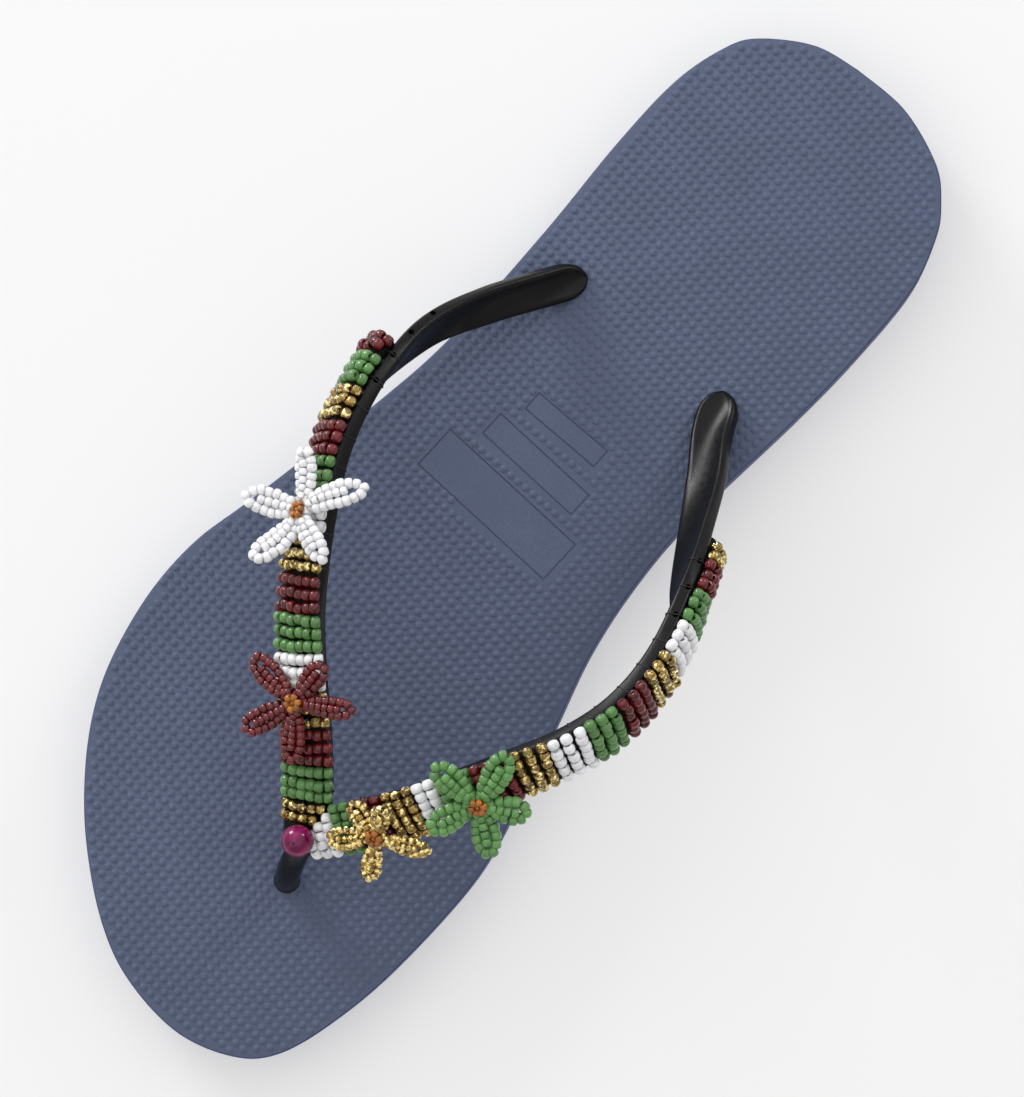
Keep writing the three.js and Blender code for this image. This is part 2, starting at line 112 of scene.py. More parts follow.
# Each arm from its tip on the sole to the fork. roll is the angle in degrees by which the outer
# face looks up from the horizontal, lift is how far the beadwork's padding raises its top, and wrap
# is how far the beadwork reaches past the arm's upper edge.
Section = namedtuple("Section", "x y z width thick roll lift wrap")
MEDIAL_ARM = [
    Section(-27.3, -52.6, 14.8, 8.6, 4.2, -78, 0, 1.2),
    Section(-29.8, -45.4, 18.4, 8.9, 3.6, -68, 0, 1.2),
    Section(-34.9, -36.3, 26, 9.2, 3, -56, 1.6, 1.2),
    Section(-40.2, -25.2, 34.5, 9.2, 3, -37, 2.6, 1.2),
    Section(-44.9, -15, 41.5, 10.6, 3.2, -15, 2.4, 1.3),
    Section(-49.4, -5, 47, 11.5, 3.4, 14, 1, 1.4),
    Section(-51.1, 6, 52, 11.5, 3.4, 28, 0, 1.3),
    Section(-50.1, 16, 55.5, 11, 3.4, 38, 0, 1.2),
    Section(-46.3, 26.5, 57.8, 10.6, 3.4, 48, 0, 1.3),
    Section(-40.4, 36.5, 57.7, 10.3, 3.4, 57, 0, 1.6),
    Section(-34.2, 46.5, 54.6, 10.2, 3.6, 65, 0, 1.8),
    Section(-27.1, 57, 49, 10.2, 3.9, 70, 0, 1.9),
    Section(-19.2, 66.6, 42.3, 10, 4.2, 74, 0, 1.9),
    Section(-13.2, 73, 37.2, 9, 4.4, 78, 0, 1.9),
]
LATERAL_ARM = [
    Section(11.7, -55.2, 14.8, 8, 4.2, -78, 0, 1.2),
    Section(16, -49.2, 18.4, 8.1, 3.5, -68, 0, 1.2),
    Section(23.5, -38, 26.5, 8.2, 3, -56, 0, 1.2),
    Section(29.3, -26.8, 34.5, 8.8, 3, -26, 1.8, 1.2),
    Section(31.4, -15.5, 40.5, 10.8, 3.2, 1, 2.8, 1.3),
    Section(31.2, -4.5, 45.2, 11.4, 3.4, 16, 1.9, 1.4),
    Section(28.9, 6.5, 49, 11.2, 3.4, 27, 0.8, 1.3),
    Section(24.9, 16.5, 51.6, 11, 3.4, 38, 0, 1.2),
    Section(20, 26.5, 52.8, 10.6, 3.4, 48, 0, 1.3),
    Section(14, 36.8, 52, 10.3, 3.4, 57, 0, 1.6),
    Section(6.4, 47, 49.6, 10.2, 3.6, 65, 0, 1.8),
    Section(-1.6, 56.8, 46, 10.2, 3.9, 70, 0, 1.9),
    Section(-8.2, 66, 41.3, 10, 4.2, 74, 0, 1.9),
    Section(-12.4, 73, 37.2, 9, 4.4, 78, 0, 1.9),
]
FORK = Vector((-12.7, 73.4, 36.8))
KNUCKLE_SIZE = (4.5, 4.2, 2.2)
KNUCKLE_TILT = -40
POST_PATH = [
    (-12.7, 70.5, 37.2), (-12.8, 75.4, 34.6), (-13.2, 80, 28.2), (-13.6, 83.4, 20.5),
    (-13.8, 84.9, 14), (-13.8, 85, 9), (-13.8, 85, 2.5),
]
TIP_LENGTH = 5.5
DISH = 0.22
FOOT_DISH = 0.6
FOOT_FULLNESS = 0.25
TOE_BEAD_CENTRE = Vector((-12.3, 75, 43.6))

# Bands of beads from the fork outwards: colour and number of rows.
MEDIAL_BANDS = [
    ("white", 2), ("green", 2), ("maroon", 3), ("gold", 3), ("white", 2), ("green", 3),
    ("maroon", 3), ("gold", 3), ("white", 3), ("green", 3), ("maroon", 3), ("gold", 3),
    ("white", 3), ("green", 3), ("maroon", 3), ("gold", 2),
]
LATERAL_BANDS = [
    ("gold", 2), ("green", 3), ("maroon", 3), ("gold", 3), ("white", 3), ("green", 3),
    ("maroon", 3), ("gold", 3), ("white", 3), ("green", 3), ("maroon", 3), ("gold", 3),
    ("green", 3), ("maroon", 2),
]
FIRST_ROW = 4
FORK_SPREAD = 0.65
BEAD_SEAT = 0.45
BEAD_HEIGHT = 2.3
END_SPLAY = 0.4
FIRST_HOLE = 10
HOLE_INSET = 1.5
LACE_RADIUS = 0.13
# How the arms' work differs: rows ahead of the first band, how far past the bands the lacing holes
# and the padding go on, and how far the padding's end stands off.
Work = namedtuple("Work", "early_rows holes_past padding_past end_rise")
WORK = {"medial": Work(1, -2, 4.2, 0.9), "lateral": Work(0, 13, 1.2, 0)}

# Flowers: distance of the middle from the fork along the arm, its offset across the arm and the
# radius of its beads, then each petal's tip from the middle, with the petal's width.
Petal = namedtuple("Petal", "x y z width")
Flower = namedtuple("Flower", "arm along across strand petals")
FLOWERS = {
    "gold": Flower("medial", 19.5, -1, 0.95, [
        Petal(8.1, 6.9, -3.5, 5.8), Petal(8.6, -2.9, 0.5, 5.4), Petal(2.1, -5.8, 6, 5.2),
        Petal(-11.1, -4.5, 1.5, 4.8), Petal(-4.1, 8.7, -4, 5.2),
    ]),
    "green": Flower("medial", 42.5, -0.4, 1.2, [
        Petal(5.2, 10.8, -1.5, 6.6), Petal(-8.7, 7.7, -3, 6.8), Petal(-10.1, -4.9, -0.5, 6.4),
        Petal(1, -12.4, 5.2, 6.8), Petal(12.3, -1.2, 3, 6.6),
    ]),
    "maroon": Flower("lateral", 31, 1, 1.05, [
        Petal(13.1, -2.4, -2, 6.4), Petal(5.6, 11.6, -3.5, 6.2), Petal(-6.8, 11, -3, 5.6),
        Petal(-11.4, -6.1, 3.5, 5.2), Petal(-0.5, -10.4, 4, 5.8),
    ]),
    "white": Flower("lateral", 67.5, 3.2, 1.15, [
        Petal(7.8, -11.3, 0.5, 5.2), Petal(12.9, 4.7, -2.5, 6.6), Petal(2.8, 14.5, 1.5, 6.4),
        Petal(-10.6, 5.7, 4, 5.4), Petal(-8.7, -12.3, 2.5, 6.4),
    ]),
}
HUB_RADIUS = 1.7
PETAL_START = 1.9
PETAL_BEND = 0.4
PETAL_ROOT = 0.6
PETAL_FLARE = 0.55
FILLING_SIZE = 0.85
THREAD_RADIUS = 0.2
PETAL_STEPS = 48

# One bead's section as radius and place along its axis, as shares of its radius and half length.
BEAD_PROFILE = [
    (0.34, -0.8), (0.56, -1), (0.82, -0.86), (0.97, -0.46), (1, 0),
    (0.97, 0.46), (0.82, 0.86), (0.56, 1), (0.34, 0.8),
]
BEAD_SIDES = 14
# How thick the beads of each colour are beside the mean.
GIRTHS = {"white": 1.04, "green": 1.0, "maroon": 0.98, "gold": 0.94}

# The camera hangs over the shoe's big-toe side and looks down at it, toe to the lower left. Its
# focal length and the picture's height are in pixels.
CAMERA_PLACE = Vector((-70.7, 3.9, 1100))
CAMERA_TARGET = Vector((-10.4, 0.1, 15))
PICTURE_UP = Vector((0.59482, -0.80386, 0))
PICTURE_HEIGHT = 1097
FOCAL_PIXELS = 4037.5
ZOOM = 1.27
# Places of the lamps in metres: overhead, beyond the little-toe side and behind the heel.
SUN_PLACE = (0.45, -0.3, 2)
KEY_PLACE = (2.4, -0.7, 0.55)
BACK_PLACE = (-0.3, -2.2, 1.2)


def length_setting(name, millimetres, description):
    """A length that the user can change."""
    return bpy.props.FloatProperty(
        name=name, description=description, default=millimetres * MM, unit="LENGTH"
    )


def colour_setting(name, colour, description):
    """A colour that the user can change."""
    return bpy.props.FloatVectorProperty(
        name=name, description=description, default=colour, subtype="COLOR", size=3
    )


class SoleSettings(bpy.types.PropertyGroup):
    """Sizes and colours of the foam sole."""

    pimple_pitch: length_setting("Pimple pitch", 2.05, "Distance between footbed pimples")
    pimple_radius: length_setting("Pimple radius", 0.95, "Radius of one footbed pimple at its foot")
    pimple_height: length_setting(
        "Pimple height", 0.3, "How far a pimple stands up from the footbed"
    )
    pimple_turn: bpy.props.FloatProperty(
        name="Pimple turn", description="Turn of the pimple grid from the sole's length",
        default=math.radians(-4.5), unit="ROTATION",
    )
    tread_pitch: length_setting("Tread pitch", 2.7, "Distance between the ribs of the outsole")
    tread_depth: length_setting("Tread depth", 0.7, "Height of the ribs of the outsole")
    groove: length_setting(
        "Panel groove", 0.32, "Width and depth of the grooves round the smooth panels"
    )
    top_colour: colour_setting(
        "Footbed colour", (0.088, 0.109, 0.18), "Colour of the matte footbed"
    )
    wall_colour: colour_setting(
        "Wall colour", (0.032, 0.047, 0.135), "Colour of the sole's cut edge and underside"
    )


class StrapSettings(bpy.types.PropertyGroup):
    """Sizes and colours of the moulded strap."""

    post_radius: length_setting("Post radius", 2.75, "Radius of the post between the toes")
    edge_round: length_setting("Edge rounding", 0.85, "Radius of the rounded edges of the arms")
    hole_pitch: length_setting("Hole pitch", 6.8, "Distance between the lacing holes along an arm")
    hole_radius: length_setting("Hole radius", 0.42, "Radius of a lacing hole")
    colour: colour_setting(
        "Rubber colour", (0.0032, 0.0032, 0.0034), "Colour of the strap's rubber"
    )


class BeadSettings(bpy.types.PropertyGroup):
    """Sizes and colours of the beadwork."""

    radius: length_setting("Bead radius", 1.27, "Radius of a seed bead in the rows")
    length: length_setting("Bead length", 2.0, "Length of a seed bead along its hole")
    row_pitch: length_setting("Row pitch", 2.6, "Distance between rows along the strap")
    petal_shape: bpy.props.FloatProperty(
        name="Petal bead length", description="Length of a petal's bead as a share of its width",
        default=0.78,
    )
    toe_bead_radius: length_setting(
        "Toe bead radius", 3.4, "Radius of the large bead over the fork"
    )
    white: colour_setting("White", (0.84, 0.84, 0.855), "Colour of the white beads")
    green: colour_setting("Green", (0.092, 0.22, 0.062), "Colour of the green beads")
    maroon: colour_setting("Maroon", (0.11, 0.005, 0.007), "Colour of the maroon beads")
    gold: colour_setting("Gold", (0.45, 0.29, 0.075), "Colour of the silver-lined gold beads")
    amber: colour_setting(
        "Amber", (0.62, 0.2, 0.006), "Colour of the beads in the middle of the flowers"
    )
    magenta: colour_setting(
        "Magenta", (0.155, 0.001, 0.055), "Colour of the large bead over the fork"
    )


class StageSettings(bpy.types.PropertyGroup):
    """Floor and light of the studio."""

    floor_colour: colour_setting("Floor colour", (0.5, 0.5, 0.502), "Colour of the pale floor")
    floor_glow: bpy.props.FloatProperty(
        name="Floor glow", description="Light that shines up through the floor", default=0.39,
    )
    sun_strength: bpy.props.FloatProperty(
        name="Soft light", description="Strength of the wide light from above", default=0.9,
    )
    key_power: bpy.props.FloatProperty(
        name="Key light", description="Power of the lamp on the little-toe side",
        default=42, unit="POWER",
    )
    back_power: bpy.props.FloatProperty(
        name="Back light", description="Power of the lamp behind the heel",
        default=9, unit="POWER",
    )
    bright: bpy.props.FloatProperty(
        name="Bright side", description="Light of the room on the little-toe side", default=0.76,
    )
    dim: bpy.props.FloatProperty(
        name="Dim side", description="Light of the room on the big-toe side", default=0.46,
    )


class Shell:
    """Points and faces in millimetres, gathered part by part for one mesh."""

    def __init__(self):
        self.points = []
        self.faces = []
        self.finishes = []
        self.tints = []
        self.count = 0

    def add(self, points, faces, finish=0, tint=0.5):
        """Adds one part with its finish and a tint that tells it from its neighbours."""
        points = np.asarray(points, float)
        self.points.append(points)
        self.add_faces([tuple(self.count + i for i in face) for face in faces], finish)
        self.tints.append(np.full(len(points), tint))
        self.count += len(points)

    def add_faces(self, faces, finish):
        """Adds faces with one finish on points that the shell already has."""
        self.faces.extend(faces)
        self.finishes.extend([finish] * len(faces))


def shell_of(points, faces):
    """A shell of one part."""
    shell = Shell()
    shell.add(points, faces)
    return shell


def make_piece(name, shell, materials, sharp=35):
    """One object from a shell, shaded smooth up to the sharp angle in degrees."""
    mesh = bpy.data.meshes.new(name)
    points = np.concatenate(shell.points) * MM
    mesh.from_pydata(points.tolist(), [], shell.faces)
    mesh.polygons.foreach_set("material_index", shell.finishes)
    tint = mesh.attributes.new("tint", "FLOAT", "POINT")
    tint.data.foreach_set("value", np.concatenate(shell.tints).astype(np.float32))
    for material in materials:
        mesh.materials.append(material)
    face_outwards(mesh)
    shade(mesh, sharp)
    piece = bpy.data.objects.new(name, mesh)
    bpy.context.scene.collection.objects.link(piece)
    return piece


def face_outwards(mesh):
    """Turns every face of the closed shells in a mesh to look outwards."""
    bm = bmesh.new()
    bm.from_mesh(mesh)
    bmesh.ops.recalc_face_normals(bm, faces=bm.faces)
    bm.to_mesh(mesh)
    bm.free()


def shade(mesh, sharp):
    """Shades a mesh smooth, apart from edges over the sharp angle in degrees."""
    mesh.shade_smooth()
    mesh.set_sharp_from_angle(angle=math.radians(sharp))


def combine(target, tool, operation):
    """Joins or cuts one closed mesh with another, and removes the other."""
    modifier = target.modifiers.new("combine", "BOOLEAN")
    modifier.object = tool
    modifier.operation = operation
    modifier.solver = "EXACT"
    graph = bpy.context.evaluated_depsgraph_get()
    mesh = bpy.data.meshes.new_from_object(target.evaluated_get(graph))
    target.modifiers.clear()
    target.data = mesh
    bpy.data.objects.remove(tool)


def skin(rings, hoop=False):
    """Points and faces of a row of equal rings, closed by caps or, for a hoop, on itself."""
    count = len(rings[0])
    points = np.concatenate([np.asarray(ring, float) for ring in rings])
    faces = []
    turns = len(rings) if hoop else len(rings) - 1
    for i in range(turns):
        here = i * count
        there = (i + 1) % len(rings) * count
        for j in range(count):
            k = (j + 1) % count
            faces.append((here + j, here + k, there + k, there + j))
    if not hoop:
        faces.append(tuple(range(count)))
        faces.append(tuple(range(len(points) - count, len(points))))
    return points, faces


def circle(sides):
    """Even places round a circle of radius 1, as x, y."""
    angles = [math.tau * i / sides for i in range(sides)]
    return [(math.cos(angle), math.sin(angle)) for angle in angles]


def lathe(profile, centre, axis=UP, sides=32):
    """A turned part from rows of radius and height above centre along axis. The profile is closed
    by the caps at its two ends."""
    turn = UP.rotation_difference(axis).to_matrix()
    rings = []
    for radius, height in profile:
        spots = [Vector((radius * x, radius * y, height)) for x, y in circle(sides)]
        rings.append([Vector(centre) + turn @ spot for spot in spots])
    return skin(rings)


def ball_profile(radius, bore, rows):
    """The section of a ball with a bore through it, as rows of radius and height."""
    start = math.asin(bore / radius)
    angles = [start + (math.pi - 2 * start) * i / rows for i in range(rows + 1)]
    return [(radius * math.sin(angle), -radius * math.cos(angle)) for angle in angles]


def tube(path, radius, sides=8, hoop=False):
    """A round tube along a row of points, with one radius or one for each point."""
    path = [Vector(p) for p in path]
    count = len(path)
    radii = radius if hasattr(radius, "__len__") else [radius] * count
    rings = []
    side = None
    for i, centre in enumerate(path):
        before = path[i - 1] if i or hoop else path[0]
        after = path[(i + 1) % count] if i + 1 < count or hoop else path[-1]
        heading = (after - before).normalized()
        if side is None:
            side = heading.orthogonal().normalized()
        side = (side - heading * side.dot(heading)).normalized()
        other = heading.cross(side)
        rings.append([centre + (side * x + other * y) * radii[i] for x, y in circle(sides)])
    return skin(rings, hoop)


def span_at(points, t):
    """The span of a curve through points that holds t, from 0 to 1, and the place in the span."""
    last = len(points) - 1
    place = min(max(t, 0), 1) * last
    i = min(int(place), last - 1)
    return i, place - i


def cubic(p1, p2, leave, reach, weight):
    """A point between two points of a curve, from its slopes at both."""
    square = -3 * p1 + 3 * p2 - 2 * leave - reach
    cube = 2 * p1 - 2 * p2 + leave + reach
    return p1 + leave * weight + square * weight**2 + cube * weight**3


def path_point(points, t):
    """A point of the centripetal Catmull-Rom curve through points, at t from 0 to 1."""
    i, weight = span_at(points, t)
    p1, p2 = points[i], points[i + 1]
    p0 = points[i - 1] if i else 2 * p1 - p2
    p3 = points[i + 2] if i + 2 < len(points) else 2 * p2 - p1
    d0, d1, d2 = (math.sqrt(np.linalg.norm(b - a)) for a, b in ((p0, p1), (p1, p2), (p2, p3)))
    leave = ((p1 - p0) / d0 - (p2 - p0) / (d0 + d1) + (p2 - p1) / d1) * d1
    reach = ((p2 - p1) / d1 - (p3 - p1) / (d1 + d2) + (p3 - p2) / d2) * d1
    return cubic(p1, p2, leave, reach, weight)


def path_points(points, steps):
    """The curve through points in even steps of t."""
    return [path_point(points, i / steps) for i in range(steps + 1)]


def even_point(points, t):
    """A point of the uniform Catmull-Rom spline through points, at t from 0 to 1."""
    i, weight = span_at(points, t)
    p1, p2 = points[i], points[i + 1]
    leave = (p2 - points[max(i - 1, 0)]) / 2
    reach = (points[min(i + 2, len(points) - 1)] - p1) / 2
    return cubic(p1, p2, leave, reach, weight)


def run_along(points):
    """Distance of each point of a polyline from its start."""
    steps = np.linalg.norm(np.diff(points, axis=0), axis=1)
    return np.concatenate([[0], np.cumsum(steps)])


def spaced(points, spacing):
    """Places at even spacing along a polyline, each as point and heading."""
    points = np.asarray(points, float)
    run = run_along(points)
    number = max(1, round(run[-1] / spacing))
    near = 0.2 * spacing
    places = []
    for i in range(number):
        middle = (i + 0.5) * run[-1] / number
        spot, back, front = (
            Vector([np.interp(mark, run, axis) for axis in points.T])
            for mark in (middle, middle - near, middle + near)
        )
        places.append((spot, (front - back).normalized()))
    return places


Place = namedtuple("Place", "centre along outward across width thick lift wrap")


class Arm:
    """One arm of the strap as a smooth path from the fork, with its sizes at any distance."""

    STEPS = 400

    def __init__(self, rows, side):
        from_fork = rows[::-1]
        self.side = side
        self.points = [np.array(row[:3], float) for row in from_fork]
        self.sizes = [np.array(row[3:6], float) for row in from_fork]
        self.beads = [np.array((row.lift, row.wrap), float) for row in from_fork]
        self.run = run_along(path_points(self.points, self.STEPS))
        self.length = self.run[-1]

    def at(self, distance):
        """The middle of the arm and its own axes and sizes at a distance from the fork."""
        t = float(np.interp(distance, self.run, np.linspace(0, 1, self.STEPS + 1)))
        near = 1e-4
        centre, ahead, behind = (
            Vector(path_point(self.points, spot)) for spot in (t, t + near, t - near)
        )
        along = (ahead - behind).normalized()
        width, thick, roll = path_point(self.sizes, t)
        roll = math.radians(roll)
        level = Vector((along.y, -along.x, 0)).normalized()
        level *= math.copysign(1, level.x) * self.side
        raised = along.cross(level)
        raised *= math.copysign(1, raised.z)
        outward = level * math.cos(roll) + raised * math.sin(roll)
        across = raised * math.cos(roll) - level * math.sin(roll)
        lift, wrap = even_point(self.beads, t)
        return Place(centre, along, outward, across, width, thick, max(0, lift), wrap)


def on_place(place, out, over):
    """A point from distances out from the middle of an arm and across it."""
    return place.centre + place.outward * out + place.across * over


ARMS = {"medial": Arm(MEDIAL_ARM, -1), "lateral": Arm(LATERAL_ARM, 1)}
BANDS = {"medial": MEDIAL_BANDS, "lateral": LATERAL_BANDS}


def sole_top(y):
    """Height of the footbed, which slopes from the heel to the toe."""
    return HEEL_THICKNESS - TOE_DROP * (y - HEEL_Y) / SOLE_LENGTH


SOCKETS = {
    "specular": "Specular IOR Level", "coat": "Coat Weight", "coat_roughness": "Coat Roughness",
    "metallic": "Metallic", "clearness": "Transmission Weight", "ior": "IOR",
    "softness": "Subsurface Weight", "soft_depth": "Subsurface Scale",
    "soft_spread": "Subsurface Radius", "glow": "Emission Strength",
}


def new_material(name, colour, roughness, **finish):
    """A material with its principled shader, whose uniform values stand on its own sockets."""
    material = bpy.data.materials.new(name)
    material.use_nodes = True
    shader = material.node_tree.nodes["Principled BSDF"]
    shader.inputs["Base Color"].default_value = (*colour, 1)
    shader.inputs["Roughness"].default_value = roughness
    for quality, value in finish.items():
        shader.inputs[SOCKETS[quality]].default_value = value
    return material


def material_node(material, kind, **values):
    """Adds a node and sets its own properties and its unlinked inputs."""
    node = material.node_tree.nodes.new(kind)
    for name, value in values.items():
        if hasattr(node, name):
            setattr(node, name, value)
        else:
            node.inputs[name.replace("_", " ")].default_value = value
    return node


def shader_of(material):
    """The principled shader of a material."""
    return material.node_tree.nodes["Principled BSDF"]


def link(material, output, target):
    """Feeds a node's output to another node's input."""
    material.node_tree.links.new(output, target)


def texture(material, kind, **values):
    """A texture laid on the object. Its scale is counted per metre."""
    place = material_node(material, "ShaderNodeTexCoord")
    pattern = material_node(material, kind, **values)
    link(material, place.outputs["Object"], pattern.inputs["Vector"])
    return pattern


def noise(material, scale, detail=3):
    """A noise whose grain is counted per metre of the object."""
    return texture(material, "ShaderNodeTexNoise", Scale=scale, Detail=detail).outputs["Fac"]


def ramp(material, source, low, high, dark=0.0, light=1.0):
    """Spreads a grey value between two limits."""
    spread = material_node(material, "ShaderNodeMapRange")
    limits = {"From Min": low, "From Max": high, "To Min": dark, "To Max": light}
    for socket, value in limits.items():
        spread.inputs[socket].default_value = value
    link(material, source, spread.inputs["Value"])
    return spread.outputs["Result"]


def clouds(material, scale, detail=3):
    """Soft patches of grey from 0 to 1."""
    return ramp(material, noise(material, scale, detail), 0.35, 0.65)


def blend_colours(material, amount, first, second):
    """A colour between two, by an amount from 0 to 1. Either may be a colour or a socket."""
    mix = material_node(material, "ShaderNodeMix", data_type="RGBA")
    link(material, amount, mix.inputs["Factor"])
    for socket, colour in ((mix.inputs[6], first), (mix.inputs[7], second)):
        if isinstance(colour, bpy.types.NodeSocket):
            link(material, colour, socket)
        else:
            socket.default_value = (*colour, 1)
    return mix.outputs[2]


def shaded(colour, share):
    """A colour made darker or lighter by a share."""
    return tuple(min(1, channel * share) for channel in colour)


def two_shades(material, amount, colour, dark, light):
    """Blends two shades of a colour by an amount from 0 to 1."""
    return blend_colours(material, amount, shaded(colour, dark), shaded(colour, light))


def paint(material, colour):
    """Feeds a colour socket to the shader."""
    link(material, colour, shader_of(material).inputs["Base Color"])


def roughen(material, source, low, high):
    """Varies the roughness between two values by a grey source."""
    spread = ramp(material, source, 0.3, 0.7, low, high)
    link(material, spread, shader_of(material).inputs["Roughness"])


def emboss(material, source, strength, depth):
    """Raises the surface by a grey source. depth is in metres."""
    bump = material_node(material, "ShaderNodeBump", Strength=strength, Distance=depth)
    link(material, source, bump.inputs["Height"])
    link(material, bump.outputs["Normal"], shader_of(material).inputs["Normal"])


def footbed_foam(colour):
    """Matte moulded foam, faintly mottled, with a fine skin."""
    material = new_material("footbed foam", colour, 0.72, specular=0.35)
    mottled = two_shades(material, clouds(material, 90), colour, 0.94, 1.06)
    specks = clouds(material, 2600, 2)
    paint(material, blend_colours(material, specks, shaded(colour, 0.86), mottled))
    emboss(material, noise(material, 3200, 2), 0.35, 0.00012)
    return material


def cut_foam(colour):
    """Foam of the cut edge: darker, with open pores that are dented and painted dark as their
    shade.
    """
    material = new_material("cut foam", colour, 0.62, specular=0.4)
    cells = texture(material, "ShaderNodeTexVoronoi", Scale=620.0)
    # Painted shade: the pits of the open pores are painted at about a third of the colour.
    pores = ramp(material, cells.outputs["Distance"], 0.16, 0.26)
    closed = ramp(material, noise(material, 420, 1), 0.42, 0.5, 1, 0)
    solid = material_node(material, "ShaderNodeMath", operation="MAXIMUM")
    link(material, pores, solid.inputs[0])
    link(material, closed, solid.inputs[1])
    mottled = two_shades(material, clouds(material, 110), colour, 0.9, 1.1)
    paint(material, blend_colours(material, solid.outputs[0], shaded(colour, 0.35), mottled))
    emboss(material, solid.outputs[0], 0.6, 0.0002)
    return material


def strap_rubber(colour):
    """Satin black rubber with a faint moulded grain."""
    material = new_material("strap rubber", colour, 0.3, specular=0.2)
    paint(material, two_shades(material, clouds(material, 160), colour, 0.8, 1.3))
    roughen(material, noise(material, 700, 4), 0.25, 0.37)
    emboss(material, noise(material, 2400, 3), 0.25, 0.00008)
    return material


def padding_cloth():
    """Black cord wrapped under the beads."""
    colour = (0.01, 0.01, 0.01)
    material = new_material("padding cloth", colour, 0.9, specular=0.1)
    paint(material, two_shades(material, clouds(material, 1200), colour, 0.4, 1))
    emboss(material, noise(material, 1500, 4), 0.8, 0.0003)
    return material


def thread(name, colour):
    """Beading thread with a twisted look."""
    material = new_material(name, colour, 0.6)
    twist = ramp(material, noise(material, 3000, 2), 0.4, 0.6)
    paint(material, two_shades(material, twist, colour, 0.6, 1))
    return material


def tint_of(material):
    """Each bead's own tint, from 0 to 1."""
    return material_node(material, "ShaderNodeAttribute", attribute_name="tint").outputs["Fac"]


def tinted(material, colour, spread):
    """Paints each bead its own shade of a colour, with a fine streak inside it."""
    tint = tint_of(material)
    own = two_shades(material, tint, colour, 1 - spread, 1 + spread)
    deep = two_shades(material, tint, colour, 0.8 - spread, 0.85 + spread)
    paint(material, blend_colours(material, clouds(material, 900, 2), deep, own))


def opaque_bead(name, colour, roughness=0.2, spread=0.16):
    """Glazed opaque glass."""
    material = new_material(name, colour, roughness, coat=0.25, coat_roughness=0.08, specular=0.4)
    tinted(material, colour, spread)
    emboss(material, noise(material, 1100, 2), 0.18, 0.0003)
    return material


def lined_bead(name, colour, share):
    """Clear coloured glass over a bright metal lining. Painted highlights, bright glint patches in
    its colour, cover about a share of it.
    """
    material = new_material(name, colour, 0.16, metallic=0.9, coat=0.6, coat_roughness=0.05)
    dark = two_shades(material, tint_of(material), colour, 0.3, 0.8)
    # Painted glints: pale yellow is painted into the colour where the noise is high, in place of
    # highlights.
    bright = (1, 0.8, 0.34)
    low = 0.65 - 0.4 * share
    painted_glint_mask = ramp(material, noise(material, 1000, 1), low, low + 0.09)
    paint(material, blend_colours(material, painted_glint_mask, dark, bright))
    emboss(material, noise(material, 1300, 2), 0.85, 0.0005)
    return material


def clear_bead(name, colour, clearness, spread=0.2):
    """See-through coloured glass."""
    material = new_material(
        name, colour, 0.1, clearness=clearness, ior=1.5, coat=0.3, coat_roughness=0.08
    )
    tinted(material, colour, spread)
    return material


def milky_bead(colour):
    """Cloudy white glass that light sinks into."""
    material = new_material(
        "milky bead", colour, 0.16, specular=0.4, softness=0.8, soft_depth=0.0012,
        soft_spread=(1, 1, 1), coat=0.2, coat_roughness=0.05,
    )
    tinted(material, colour, 0.03)
    return material


def agate(colour):
    """Polished stone with soft clouds and a few faint veins."""
    material = new_material(
        "toe bead stone", colour, 0.08, coat=0.2, coat_roughness=0.03, specular=0.3
    )
    wave = texture(
        material, "ShaderNodeTexWave", Scale=120.0, Distortion=5.0, Detail=1.0, Detail_Scale=1.2
    )
    veins = ramp(material, wave.outputs["Fac"], 0.75, 1.0, 0, 0.22)
    patches = ramp(material, noise(material, 220, 1), 0.35, 0.7)
    clouded = two_shades(material, patches, colour, 0.7, 1.3)
    paint(material, blend_colours(material, veins, clouded, (0.42, 0.03, 0.18)))
    return material


def sole_edge(steps):
    """Even points round the sole and the outward direction at each, as x, y rows."""
    knots = [np.array(p, float) for p in [*EDGE, EDGE[0]]]
    fine_steps = 4000
    fine = np.array([even_point(knots, i / fine_steps) for i in range(fine_steps + 1)])
    run = run_along(fine)
    marks = np.arange(steps) * run[-1] / steps
    points = np.stack([np.interp(marks, run, fine[:, k]) for k in range(2)], axis=1)
    heading = np.roll(points, -1, axis=0) - np.roll(points, 1, axis=0)
    heading /= np.linalg.norm(heading, axis=1)[:, None]
    return points, np.stack([heading[:, 1], -heading[:, 0]], axis=1)


OUTLINE, OUTWARDS = sole_edge(EDGE_STEPS)


def across_sole(y):
    """For each stretch of the sole's edge, whether it crosses the line at y, and where."""
    (x1, y1), (x2, y2) = OUTLINE.T, np.roll(OUTLINE, -1, axis=0).T
    hit = (y1 > y) != (y2 > y)
    return hit, (x2 - x1) * (y - y1) / np.where(y2 == y1, 1e-9, y2 - y1) + x1


def inside_sole(points):
    """Which points lie inside the sole's edge."""
    hit, x = across_sole(points[:, 1:2])
    return (hit & (points[:, 0:1] < x)).sum(axis=1) % 2 == 1


def edge_distance(points):
    """Distance of each point from the nearest point of the sole's edge."""
    return np.linalg.norm(points[:, None] - OUTLINE[None], axis=2).min(axis=1)


def turned(points, angle):
    """Points as x, y rows, turned to the left about the origin."""
    cos, sin = math.cos(angle), math.sin(angle)
    return points @ np.array([[cos, sin], [-sin, cos]])


